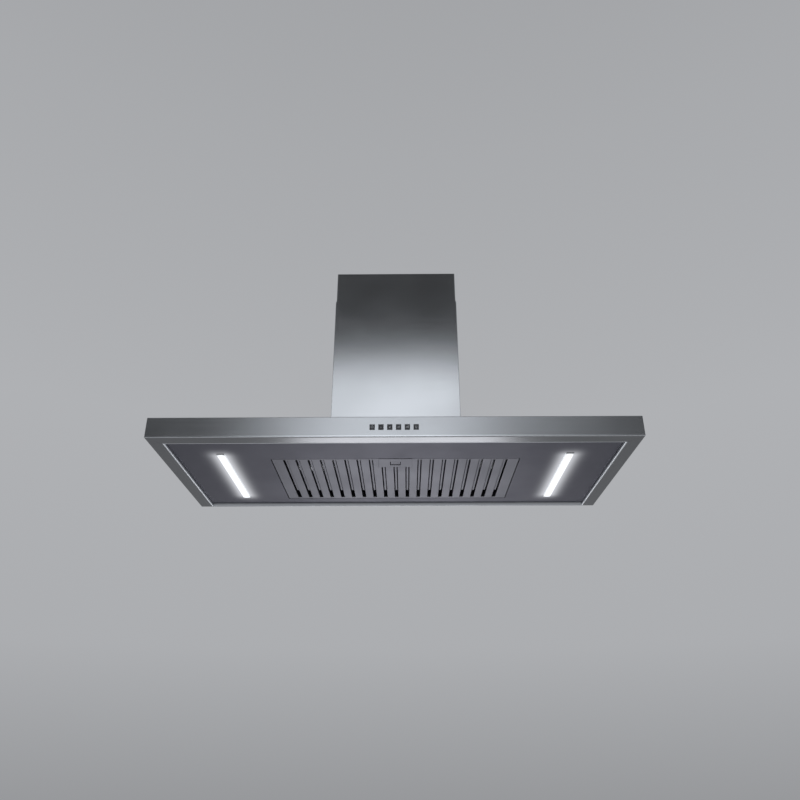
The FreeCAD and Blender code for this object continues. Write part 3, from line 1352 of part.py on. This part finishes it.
def build_cables():
    """Leads from the driver to both lamps, from the buttons, and from the motor and capacitor."""
    radius = size("cable_radius")
    lamp_x, lamp_end = size("lamp_offset"), number("lamp_rear + lamp_gap")
    level, driver_end = number("panel_top + 9"), 205
    left = [(-lamp_x, lamp_end, level), (-lamp_x, 230, level), (-398, 230, level),
            (-398, driver_end, level)]
    right = [(lamp_x, lamp_end, level), (lamp_x, 246, level), (-358, 246, level),
             (-358, driver_end, level)]
    feature("lamp_cables", Part.makeCompound([cable(left, radius, 10), cable(right, radius, 16)]))

    box_x, hole_z = number("airbox_half + terminal_wall + 3"), float(CABLE_HOLE_LEVEL)
    low = 27.5
    control = [(63.5, number("front + sheet + control_depth"), low), (63.5, -236, low),
               (342, -236, low), (342, 236, low), (120, 236, low),
               (120, 236, hole_z), (120, 150, hole_z), (box_x, 150, hole_z)]
    feature("control_cable", cable(control, radius, 10))

    (can_y, can_z), (clear_y, clear_z) = on_circle(size("motor_radius"), 150), on_circle(54, 150)
    motor = [(58, can_y, can_z), (58, clear_y, clear_z), (100, clear_y, clear_z), (100, 90, hole_z),
             (box_x, 90, hole_z)]
    over = 262
    capacitor = [(-130.5, 50, 217), (-130.5, 50, over), (-130.5, 24, over), (128, 24, over),
                 (128, 120, over), (128, 120, hole_z), (box_x, 120, hole_z)]
    feature("motor_cables", Part.makeCompound([cable(motor, radius, 5), cable(capacitor, radius, 10)]))


BUILDERS = [
    build_canopy_shell, build_canopy_rear_panel, build_underside_panel, build_panel_clips,
    build_lower_chimney, build_upper_chimney, build_chimney_wall_bracket, build_chimney_screws,
    build_airbox, build_airbox_gasket, build_airbox_fasteners, build_hanger_plate, build_outlet_collar,
    build_damper_flaps, build_scrolls, build_scroll_screws, build_impeller, build_motor, build_capacitor,
    build_terminal_box, build_led_driver, build_lamps, build_controls, build_filter_frame,
    build_lower_baffles, build_upper_baffles, build_latch, build_cables,
]


for builder in BUILDERS:
    builder()
doc.recompute()

failed = [o.Label for o in doc.Objects if "Invalid" in o.State or "Error" in o.State]
for part in nodes:
    if part.Shape.isNull() or not part.Shape.isValid() or not part.Shape.Solids:
        failed.append(part.Label)
if failed:
    sys.exit(f"failed objects: {failed}")

os.makedirs("parts", exist_ok=True)
for part in nodes:
    part.Shape.exportStep(f"parts/{part.Label}.step")
    solid_box = part.Shape.BoundBox
    print(f"{part.Label:26s} {len(part.Shape.Solids):3d} solids  {part.Shape.Volume:12.1f} mm3  "
          f"x {solid_box.XMin:8.2f} {solid_box.XMax:8.2f}  y {solid_box.YMin:8.2f} {solid_box.YMax:8.2f}  "
          f"z {solid_box.ZMin:8.2f} {solid_box.ZMax:8.2f}")
print(len(nodes), "nodes")
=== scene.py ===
import bmesh
import bpy
import json
import math

from mathutils import Matrix, Vector


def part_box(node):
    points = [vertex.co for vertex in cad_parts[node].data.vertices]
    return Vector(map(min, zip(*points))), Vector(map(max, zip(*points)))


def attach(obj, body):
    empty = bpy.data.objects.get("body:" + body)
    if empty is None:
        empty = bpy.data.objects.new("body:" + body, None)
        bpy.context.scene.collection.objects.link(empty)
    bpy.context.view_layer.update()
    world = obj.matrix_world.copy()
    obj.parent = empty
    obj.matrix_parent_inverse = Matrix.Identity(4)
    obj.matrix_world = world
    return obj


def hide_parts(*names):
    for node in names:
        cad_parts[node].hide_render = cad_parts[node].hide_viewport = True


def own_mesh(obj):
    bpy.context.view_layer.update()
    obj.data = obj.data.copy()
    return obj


# Looks of a wall-mounted canopy range hood. Metres, in the CAD model's own frame:
# +X the hood's right, the front faces -Y, +Z up, and the origin under the canopy's middle.

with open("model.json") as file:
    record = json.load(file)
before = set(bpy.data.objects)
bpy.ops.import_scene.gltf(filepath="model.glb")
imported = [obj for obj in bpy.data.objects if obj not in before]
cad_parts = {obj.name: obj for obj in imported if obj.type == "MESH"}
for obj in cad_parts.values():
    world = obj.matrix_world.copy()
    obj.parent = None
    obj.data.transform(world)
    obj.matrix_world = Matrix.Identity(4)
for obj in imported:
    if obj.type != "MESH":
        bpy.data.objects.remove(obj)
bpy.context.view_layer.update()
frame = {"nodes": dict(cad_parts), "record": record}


# ---------------------------------------------------------------- studio settings
# Brightness against height, from straight down (0) to straight up (1).
SCREEN_GREYS = ((0.0, 0.30), (0.46, 0.30), (0.52, 0.06), (0.70, 0.022), (0.80, 0.010), (1.0, 0.20))
STUDIO_GREYS = ((0.0, 0.30), (0.46, 0.30), (0.56, 0.42), (0.70, 0.44), (0.85, 0.40), (1.0, 0.34))
# The Y of the directions between which the dark screen in front fades out.
SCREEN_EDGE = (-0.86, -0.50)
COOL = (0.95, 0.985, 1.04)
# Name, place, point it faces, width, height, brightness and colour.
SOFTBOXES = (
    ("front_softbox", (-0.18, -4.2, 1.78), (-0.18, 0, 1.78), 1.60, 1.78, 0.96, COOL),
    ("front_high_softbox", (0.62, -4.25, 2.42), (0.62, 0, 2.42), 0.90, 0.52, 0.30, COOL),
    ("front_wide_softbox", (0.32, -4.3, 1.76), (0.32, 0, 1.76), 2.80, 1.74, 0.22, COOL),
    ("low_softbox", (0.0, 2.6, -1.15), (0.0, -0.25, 0.0), 1.40, 0.45, 2.9, (0.98, 0.98, 1.03)),
    ("left_softbox", (-3.4, -1.4, 1.3), (0, 0, 0.2), 1.4, 1.6, 1.0),
    ("right_softbox", (3.4, -1.4, 1.3), (0, 0, 0.2), 1.4, 1.6, 1.0),
    ("back_softbox", (0.0, 3.8, 2.2), (0, 0.2, 0.2), 2.4, 1.4, 1.2),
)

# Inner edge of the canopy's turned-in rim, along which a highlight is painted: its X beside the panel, and its
# Y in front of the panel.
RIM_SIDE, RIM_FRONT = 0.563, -0.231

# Sockets of a Mix node: both inputs and the result, for colours and for vectors.
COLOUR_A, COLOUR_B, COLOUR_OUT = 6, 7, 2
VECTOR_A, VECTOR_B, VECTOR_OUT = 4, 5, 1


# ---------------------------------------------------------------- camera, floor and light
def make_camera():
    """A camera below the canopy's front, looking up at it."""
    data = bpy.data.cameras.new("camera")
    data.sensor_width = 36.0
    data.lens = 32.53
    camera = bpy.data.objects.new("camera", data)
    pitch, yaw, roll = math.radians(25.93), math.radians(-0.49), math.radians(0.04)
    turn = (Matrix.Rotation(-yaw, 4, "Z") @ Matrix.Rotation(math.pi / 2 + pitch, 4, "X")
            @ Matrix.Rotation(-roll, 4, "Z"))
    camera.matrix_world = Matrix.Translation((0.0277, -1.863, -0.6763)) @ turn
    bpy.context.scene.collection.objects.link(camera)
    bpy.context.scene.camera = camera


def make_floor():
    """A plain pale floor, a kitchen floor's distance below the canopy."""
    half, level = 14.0, -1.6
    mesh = bpy.data.meshes.new("floor")
    corners = [(-half, -half, level), (half, -half, level), (half, half, level), (-half, half, level)]
    mesh.from_pydata(corners, [], [(0, 1, 2, 3)])
    floor = bpy.data.objects.new("floor", mesh)
    bpy.context.scene.collection.objects.link(floor)
    material, tree, shader = new_material("pale_floor")
    shader.inputs["Base Color"].default_value = (0.80, 0.80, 0.81, 1)
    shader.inputs["Roughness"].default_value = 0.8
    mesh.materials.append(material)


def make_softbox(name, place, target, width, height, radiance, colour=(1, 1, 1)):
    """A soft rectangular light with a given brightness per unit of its area."""
    data = bpy.data.lights.new(name, "AREA")
    data.shape = "RECTANGLE"
    data.size, data.size_y = width, height
    data.energy = radiance * math.pi * width * height
    data.color = colour
    light = bpy.data.objects.new(name, data)
    light.location = place
    light.rotation_mode = "QUATERNION"
    light.rotation_quaternion = (Vector(target) - Vector(place)).to_track_quat("-Z", "Y")
    light.visible_camera = False
    bpy.context.scene.collection.objects.link(light)
    return light


def make_world():
    """A plain pale studio, with a dark screen in front of the hood that shows only in reflections."""
    world = bpy.data.worlds.new("studio")
    bpy.context.scene.world = world
    world.use_nodes = True
    tree = world.node_tree
    tree.nodes.clear()
    link = tree.links.new
    split = add(tree, "ShaderNodeSeparateXYZ")
    link(add(tree, "ShaderNodeTexCoord").outputs["Generated"], split.inputs[0])
    height = spread_of(tree, split.outputs["Z"], 0.0, 1.0, -1.0, 1.0)
    off_screen = spread_of(tree, split.outputs["Y"], 0.0, 1.0, SCREEN_EDGE[0], SCREEN_EDGE[1], True)
    mix = add(tree, "ShaderNodeMix", data_type="RGBA")
    link(maths(tree, "MAXIMUM", off_screen, add(tree, "ShaderNodeLightPath").outputs["Is Camera Ray"]),
         mix.inputs["Factor"])
    for socket, levels in ((COLOUR_A, SCREEN_GREYS), (COLOUR_B, STUDIO_GREYS)):
        ramp = add(tree, "ShaderNodeValToRGB")
        stops = ramp.color_ramp.elements
        for position, grey in levels[1:-1]:
            stops.new(position)
        for stop, (position, grey) in zip(stops, levels):
            stop.position = position
            stop.color = (grey * 0.98, grey, grey * 1.04, 1)
        link(height, ramp.inputs[0])
        link(ramp.outputs[0], mix.inputs[socket])
    back = add(tree, "ShaderNodeBackground")
    link(mix.outputs[COLOUR_OUT], back.inputs["Color"])
    link(back.outputs[0], add(tree, "ShaderNodeOutputWorld").inputs[0])


def make_lights():
    """Boxes in front shade the front face, one low behind lights the rim, and three fill in the rest."""
    bpy.context.scene.view_settings.view_transform = "Standard"
    for softbox in SOFTBOXES:
        make_softbox(*softbox)


# ---------------------------------------------------------------- material kit
def new_material(name):
    """A node material with its tree and its Principled shader."""
    material = bpy.data.materials.new(name)
    material.use_nodes = True
    tree = material.node_tree
    return material, tree, tree.nodes["Principled BSDF"]


def add(tree, kind, **settings):
    made = tree.nodes.new(kind)
    for key, value in settings.items():
        if key in made.inputs:
            made.inputs[key].default_value = value
        else:
            setattr(made, key, value)
    return made


def maths(tree, operation, *values):
    """One Math node over numbers and other nodes' outputs."""
    made = tree.nodes.new("ShaderNodeMath")
    made.operation = operation
    for socket, value in zip(made.inputs, values):
        if isinstance(value, (int, float)):
            socket.default_value = value
        else:
            tree.links.new(value, socket)
    return made.outputs[0]


def spread_of(tree, value, low, high, start=0.0, end=1.0, smooth=False):
    """Maps a value from start..end to low..high."""
    made = tree.nodes.new("ShaderNodeMapRange")
    made.interpolation_type = "SMOOTHSTEP" if smooth else "LINEAR"
    for key, number in (("From Min", start), ("From Max", end), ("To Min", low), ("To Max", high)):
        made.inputs[key].default_value = number
    tree.links.new(value, made.inputs["Value"])
    return made.outputs[0]


def noise(tree, vector, scale, detail=2.0, roughness=0.5):
    made = add(tree, "ShaderNodeTexNoise", Scale=scale, Detail=detail, Roughness=roughness)
    tree.links.new(vector, made.inputs["Vector"])
    return made.outputs["Fac"]


def tinted(tree, colour, factor):
    made = add(tree, "ShaderNodeVectorMath", operation="SCALE")
    made.inputs[0].default_value = colour
    tree.links.new(factor, made.inputs["Scale"])
    return made.outputs[0]


def grain_place(tree, along, across):
    """Coordinates for brushed grain along X, or along Y on the faces that look sideways."""
    link = tree.links.new
    place = add(tree, "ShaderNodeTexCoord")
    normal = add(tree, "ShaderNodeSeparateXYZ")
    link(place.outputs["Normal"], normal.inputs[0])
    is_side = maths(tree, "GREATER_THAN", maths(tree, "ABSOLUTE", normal.outputs["X"]), 0.7)
    chosen = []
    for scale in ((along, across, across), (across, along, across)):
        mapping = add(tree, "ShaderNodeMapping")
        mapping.inputs["Scale"].default_value = scale
        link(place.outputs["Object"], mapping.inputs[0])
        chosen.append(mapping.outputs[0])
    choose = add(tree, "ShaderNodeMix", data_type="VECTOR")
    link(is_side, choose.inputs["Factor"])
    link(chosen[0], choose.inputs[VECTOR_A])
    link(chosen[1], choose.inputs[VECTOR_B])
    tangent = add(tree, "ShaderNodeCombineXYZ")
    link(maths(tree, "SUBTRACT", 1.0, is_side), tangent.inputs["X"])
    link(is_side, tangent.inputs["Y"])
    return place.outputs["Object"], choose.outputs[VECTOR_OUT], tangent.outputs[0]


def rim_painted_shade_and_highlight(tree, place, painted_shade, painted_highlight):
    """Paints shade on the turned-in rim under the sheet, and a painted highlight along each of its two folds.

    It gives the tone, and how much rougher the inner fold and its lip are.
    """
    sheet_bottom, lip_top = 0.0005, 0.030
    split = add(tree, "ShaderNodeSeparateXYZ")
    tree.links.new(place, split.inputs[0])
    x, y, z = (split.outputs[axis] for axis in "XYZ")
    outward = maths(tree, "MAXIMUM", maths(tree, "SUBTRACT", maths(tree, "ABSOLUTE", x), RIM_SIDE),
                    maths(tree, "SUBTRACT", RIM_FRONT, y))
    # Painted shade on the rim, brightened to a painted highlight along its inner fold.
    painted_rim_light = spread_of(tree, outward, painted_highlight, painted_shade, 0.0020, 0.0045)
    # Painted highlight along the outer fold at the bottom of the front face.
    painted_outer_fold_highlight = spread_of(tree, z, painted_highlight, 1.0, 0.0030, 0.0060)
    is_rim = maths(tree, "LESS_THAN", z, sheet_bottom)
    tone = maths(tree, "ADD", maths(tree, "MULTIPLY", painted_rim_light, is_rim),
                 maths(tree, "MULTIPLY", painted_outer_fold_highlight, maths(tree, "SUBTRACT", 1.0, is_rim)))
    lip = maths(tree, "MULTIPLY", spread_of(tree, outward, 0.25, 0.0, 0.0030, 0.0060),
                maths(tree, "LESS_THAN", z, lip_top))
    return tone, lip


def brushed_steel(name, colour, roughness, grain=0.3, spread=0.06, anisotropy=0.5, smudge=0.05, painted_rim_light=None):
    """Stainless sheet with a fine straight grain, wider soft streaks and faint handling marks.

    The last argument gives the tones of painted shade and painted highlight on the canopy's lower rim.
    """
    material, tree, shader = new_material(name)
    link = tree.links.new
    place, grained, tangent = grain_place(tree, 6, 1400)
    fine = noise(tree, grained, 1.0, 3.0, 0.6)
    wide = noise(tree, grained, 0.11, 2.0, 0.5)
    marks = noise(tree, place, 7.0, 4.0, 0.55)
    streaks = maths(tree, "ADD", maths(tree, "MULTIPLY", fine, 0.65), maths(tree, "MULTIPLY", wide, 0.35))
    tone = spread_of(tree, streaks, 1 - spread, 1 + spread, 0.25, 0.75)
    lip = 0.0
    # Painted shade and painted fold highlights on the canopy's lower rim.
    if painted_rim_light:
        painted_rim_shading, lip = rim_painted_shade_and_highlight(tree, place, *painted_rim_light)
        tone = maths(tree, "MULTIPLY", tone, painted_rim_shading)
    link(tinted(tree, colour, tone), shader.inputs["Base Color"])
    rough = maths(tree, "ADD", spread_of(tree, streaks, roughness - spread, roughness + spread, 0.25, 0.75),
                  spread_of(tree, marks, 0.0, smudge, 0.35, 0.70, True))
    link(maths(tree, "ADD", rough, lip), shader.inputs["Roughness"])
    bump = add(tree, "ShaderNodeBump", Strength=grain, Distance=0.00004)
    link(fine, bump.inputs["Height"])
    link(bump.outputs[0], shader.inputs["Normal"])
    link(tangent, shader.inputs["Tangent"])
    shader.inputs["Metallic"].default_value = 1.0
    shader.inputs["Anisotropic"].default_value = anisotropy
    return material


def moulded_plastic(name, colour, roughness, texture=900.0, depth=0.15, spread=0.12):
    """Injection-moulded plastic with a fine spark-eroded texture."""
    material, tree, shader = new_material(name)
    link = tree.links.new
    place = add(tree, "ShaderNodeTexCoord").outputs["Object"]
    cloud = noise(tree, place, 14.0, 3.0)
    link(tinted(tree, colour, spread_of(tree, cloud, 1 - spread, 1 + spread)), shader.inputs["Base Color"])
    link(spread_of(tree, cloud, roughness - 0.06, roughness + 0.06), shader.inputs["Roughness"])
    bump = add(tree, "ShaderNodeBump", Strength=depth, Distance=0.00005)
    link(noise(tree, place, texture), bump.inputs["Height"])
    link(bump.outputs[0], shader.inputs["Normal"])
    return material


def galvanised(name, colour, roughness=0.42, flakes=90.0):
    """Zinc-coated sheet with a soft spangle and faint rolling streaks."""
    material, tree, shader = new_material(name)
    link = tree.links.new
    place = add(tree, "ShaderNodeTexCoord").outputs["Object"]
    spangle = add(tree, "ShaderNodeTexVoronoi", Scale=flakes)
    link(place, spangle.inputs["Vector"])
    flake = add(tree, "ShaderNodeSeparateColor")
    link(spangle.outputs["Color"], flake.inputs[0])
    cloud = noise(tree, place, 5.0, 4.0)
    tone = maths(tree, "MULTIPLY", spread_of(tree, flake.outputs[0], 0.88, 1.08),
                 spread_of(tree, cloud, 0.88, 1.10, 0.3, 0.7))
    link(tinted(tree, colour, tone), shader.inputs["Base Color"])
    link(spread_of(tree, flake.outputs[1], roughness - 0.08, roughness + 0.08), shader.inputs["Roughness"])
    bump = add(tree, "ShaderNodeBump", Strength=0.12, Distance=0.0002)
    link(spangle.outputs["Distance"], bump.inputs["Height"])
    link(bump.outputs[0], shader.inputs["Normal"])
    shader.inputs["Metallic"].default_value = 1.0
    return material


def add_painted_lamp_halo(material, lenses, strength, reach):
    """A painted halo: emission on the sheet round the lenses, standing in for the light they leave on it,
    rounded at the lenses' ends.
    """
    tree = material.node_tree
    shader = tree.nodes["Principled BSDF"]
    split = add(tree, "ShaderNodeSeparateXYZ")
    tree.links.new(add(tree, "ShaderNodeTexCoord").outputs["Object"], split.inputs[0])
    total = 0.0
    inset, steepness, panel_top = 0.020, 1.6, 0.0085
    for low, high in lenses:
        away = []
        for axis, start, end, weight in (("X", low.x, high.x, 1.0), ("Y", low.y + inset, high.y - inset, 0.7)):
            offset = maths(tree, "ABSOLUTE", maths(tree, "SUBTRACT", split.outputs[axis], (start + end) / 2))
            outside = maths(tree, "MAXIMUM", maths(tree, "SUBTRACT", offset, (end - start) / 2), 0.0)
            away.append(maths(tree, "MULTIPLY", outside, weight))
        squares = [maths(tree, "MULTIPLY", value, value) for value in away]
        distance = maths(tree, "SQRT", maths(tree, "ADD", *squares))
        fall = maths(tree, "POWER", maths(tree, "MULTIPLY", distance, 1 / reach), steepness)
        painted_halo = maths(tree, "EXPONENT", maths(tree, "MULTIPLY", fall, -1.0))
        total = maths(tree, "ADD", total, painted_halo)
    below = maths(tree, "LESS_THAN", split.outputs["Z"], panel_top)
    glow = maths(tree, "MULTIPLY", maths(tree, "MULTIPLY", total, below), strength)
    # The sheet itself emits this painted halo.
    tree.links.new(glow, shader.inputs["Emission Strength"])
    shader.inputs["Emission Color"].default_value = (0.94, 0.96, 1.0, 1)


def lit_diffuser(name, strength, lenses):
    """Opal lenses over a row of lamps: brightest along the middle, dimmer towards every edge."""
    material, tree, shader = new_material(name)
    link = tree.links.new
    place = add(tree, "ShaderNodeTexCoord").outputs["Object"]
    split = add(tree, "ShaderNodeSeparateXYZ")
    link(place, split.inputs[0])
    low, high = lenses[1]
    along = maths(tree, "ABSOLUTE", maths(tree, "SUBTRACT", split.outputs["Y"], (low.y + high.y) / 2))
    across = maths(tree, "ABSOLUTE", maths(tree, "SUBTRACT", maths(tree, "ABSOLUTE", split.outputs["X"]),
                                           (low.x + high.x) / 2))
    ends = spread_of(tree, along, 1.0, 0.2, (high.y - low.y) / 2 - 0.012, (high.y - low.y) / 2, True)
    sides = spread_of(tree, across, 1.0, 0.38, 0.004, (high.x - low.x) / 2)
    glow = maths(tree, "MULTIPLY", maths(tree, "MULTIPLY", ends, sides),
                 spread_of(tree, noise(tree, place, 40.0), strength * 0.95, strength * 1.05))
    link(glow, shader.inputs["Emission Strength"])
    shader.inputs["Emission Color"].default_value = (0.93, 0.96, 1.0, 1)
    shader.inputs["Base Color"].default_value = (0.9, 0.9, 0.9, 1)
    shader.inputs["Roughness"].default_value = 0.35
    return material


def button_plastic(name, colour, faces, level, front):
    """Satin black caps, each with a small pale generic mark on its front."""
    material = moulded_plastic(name, colour, 0.32)
    tree = material.node_tree
    shader = tree.nodes["Principled BSDF"]
    link = tree.links.new
    split = add(tree, "ShaderNodeSeparateXYZ")
    link(add(tree, "ShaderNodeTexCoord").outputs["Object"], split.inputs[0])
    x, y, z = split.outputs

    def bar(centre, u, v, half_u, half_v):
        return maths(tree, "MULTIPLY", maths(tree, "COMPARE", x, centre + u, half_u),
                     maths(tree, "COMPARE", z, level + v, half_v))

    def ring(centre, radius, half):
        flat = add(tree, "ShaderNodeCombineXYZ")
        link(x, flat.inputs["X"])
        link(z, flat.inputs["Z"])
        reach = add(tree, "ShaderNodeVectorMath", operation="DISTANCE")
        link(flat.outputs[0], reach.inputs[0])
        reach.inputs[1].default_value = (centre, 0, level)
        return maths(tree, "COMPARE", reach.outputs["Value"], radius, half)

    mm = 0.001
    marks = [ring(faces[0], 2.7 * mm, 0.4 * mm), bar(faces[0], 0, 2.7 * mm, 0.4 * mm, 1.6 * mm)]
    for step, centre in enumerate(faces[1:5], start=1):
        for k in range(step):
            offset = (k - (step - 1) / 2) * 1.9 * mm
            marks.append(bar(centre, offset, (0.5 * k - 1.0) * mm, 0.5 * mm, (1.8 + 0.5 * k) * mm))
    marks += [ring(faces[5], 2.2 * mm, 0.4 * mm), bar(faces[5], 0, -3.4 * mm, 1.3 * mm, 0.4 * mm)]
    total = marks[0]
    for mark in marks[1:]:
        total = maths(tree, "MAXIMUM", total, mark)
    total = maths(tree, "MULTIPLY", total, maths(tree, "LESS_THAN", y, front + 0.00005))
    mix = add(tree, "ShaderNodeMix", data_type="RGBA")
    base = shader.inputs["Base Color"].links[0].from_socket
    link(total, mix.inputs["Factor"])
    link(base, mix.inputs[COLOUR_A])
    mix.inputs[COLOUR_B].default_value = (0.62, 0.64, 0.66, 1)
    link(mix.outputs[COLOUR_OUT], shader.inputs["Base Color"])
    return material


# ---------------------------------------------------------------- pieces
def piece(name, bm, material, body, bevel=0.0, segments=2):
    """Turns a bmesh into a piece that rides on a body."""
    mesh = bpy.data.meshes.new(name)
    bmesh.ops.recalc_face_normals(bm, faces=bm.faces)
    bm.to_mesh(mesh)
    bm.free()
    made = bpy.data.objects.new(name, mesh)
    bpy.context.scene.collection.objects.link(made)
    mesh.materials.append(material)
    if bevel:
        soft = made.modifiers.new("soft_edges", "BEVEL")
        soft.width = bevel
        soft.segments = segments
        soft.limit_method = "ANGLE"
    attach(made, body)
    return made


def add_box(bm, low, high):
    made = bmesh.ops.create_cube(bm, size=1.0)
    for vert in made["verts"]:
        vert.co = Vector([lo + (co + 0.5) * (hi - lo) for lo, hi, co in zip(low, high, vert.co)])


def make_lamp_ends():
    """A dark plastic clip closes the gap between each end of a lens and the panel."""
    for name in ("left", "right"):
        low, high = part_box(f"lamp_lens_{name}")
        bm = bmesh.new()
        for y0, y1 in ((low.y - 0.0011, low.y - 0.0001), (high.y + 0.0001, high.y + 0.0011)):
            add_box(bm, (low.x + 0.0005, y0, low.z + 0.0006), (high.x - 0.0005, y1, low.z + 0.008))
        piece(f"lamp_end_clips_{name}", bm, MATERIALS["black_plastic"], "canopy", 0.0002)


def add_strip(bm, section, half_width):
    """A strip along X with a given outline in YZ."""
    ends = [[bm.verts.new((x, y, z)) for y, z in section] for x in (-half_width, half_width)]
    count = len(section)
    bm.faces.new(ends[0])
    bm.faces.new(ends[1][::-1])
    for i in range(count):
        j = (i + 1) % count
        bm.faces.new((ends[0][i], ends[1][i], ends[1][j], ends[0][j]))


def make_rear_trim():
    """A leaning strip closes the step between the panel's rear edge and the hem at the wall."""
    half_width = 0.5625
    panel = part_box("underside_panel")[0].z
    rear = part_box("canopy_rear_panel")[1].y
    bm = bmesh.new()
    add_strip(bm, [(rear - 0.0058, panel - 0.0001), (rear - 0.0032, 0.0004), (rear - 0.0032, 0.0014),
                   (rear - 0.0050, panel - 0.0001)], half_width)
    piece("rear_trim", bm, MATERIALS["canopy_steel"], "canopy")


def make_latch_spring():
    """The latch's coil, a copy of the CAD spring that rides on the filter; on the real latch it shortens
    against the plate's rear wall as the bolt is pulled back.
    """
    coil = bpy.data.objects.new("latch_coil", frame["nodes"]["latch_spring"].data.copy())
    bpy.context.scene.collection.objects.link(coil)
    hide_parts("latch_spring")
    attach(coil, "filter")
    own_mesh(coil)


# ---------------------------------------------------------------- making
make_camera()
make_floor()
make_world()
make_lights()

LENSES = [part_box("lamp_lens_left"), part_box("lamp_lens_right")]
BUTTONS = [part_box(f"button_{i}") for i in range(1, 7)]
MATERIALS = {
    # The canopy's steel carries painted shade (0.38) on its lower rim and painted highlights (1.6) on its
    # folds.
    "canopy_steel": brushed_steel("canopy_steel", (0.54, 0.555, 0.57), 0.23, 0.05, 0.02, smudge=0.02,
                                  painted_rim_light=(0.38, 1.6)),
    "chimney_steel": brushed_steel("chimney_steel", (0.64, 0.655, 0.67), 0.19, 0.06, 0.02, smudge=0.02),
    # The underside panel's and the filter's steel are given dark colours as painted shade.
    "underside_steel": brushed_steel("underside_steel", (0.130, 0.130, 0.155), 0.50, 0.1, 0.02, 0.3),
    "filter_steel": brushed_steel("filter_steel", (0.175, 0.176, 0.198), 0.45, 0.1, 0.02, 0.3),
    "zinc_sheet": galvanised("zinc_sheet", (0.58, 0.60, 0.62)),
    "fastener_steel": galvanised("fastener_steel", (0.66, 0.65, 0.62), 0.28, 400.0),
    "button_black": button_plastic("button_black", (0.045, 0.047, 0.053),
                                   [(low.x + high.x) / 2 for low, high in BUTTONS],
                                   (BUTTONS[0][0].z + BUTTONS[0][1].z) / 2, BUTTONS[0][0].y),
    "black_plastic": moulded_plastic("black_plastic", (0.03, 0.03, 0.033), 0.5),
    "grey_plastic": moulded_plastic("grey_plastic", (0.28, 0.29, 0.30), 0.5),
    "rubber_black": moulded_plastic("rubber_black", (0.02, 0.02, 0.02), 0.8),
    "foam_gasket": moulded_plastic("foam_gasket", (0.05, 0.05, 0.05), 0.9, 400.0, 0.5),
    "motor_paint": moulded_plastic("motor_paint", (0.04, 0.04, 0.045), 0.4),
    "lamination": galvanised("lamination", (0.22, 0.22, 0.24), 0.5),
    "board_green": moulded_plastic("board_green", (0.02, 0.13, 0.05), 0.4),
    "lens_white": lit_diffuser("lens_white", 1.5, LENSES),
    "driver_white": moulded_plastic("driver_white", (0.75, 0.75, 0.73), 0.45),
    "cable_grey": moulded_plastic("cable_grey", (0.22, 0.22, 0.23), 0.6),
    "capacitor_white": moulded_plastic("capacitor_white", (0.75, 0.75, 0.72), 0.35),
    "shaft_steel": brushed_steel("shaft_steel", (0.7, 0.7, 0.72), 0.2),
}
for part in frame["record"]["subparts"]:
    node = frame["nodes"][part["node"]]
    node.data.materials.clear()
    node.data.materials.append(MATERIALS[part["material_slot"]])

# Painted halo of lamp light on the underside panel.
add_painted_lamp_halo(MATERIALS["underside_steel"], LENSES, 0.56, 0.0175)
make_lamp_ends()
make_rear_trim()
make_latch_spring()
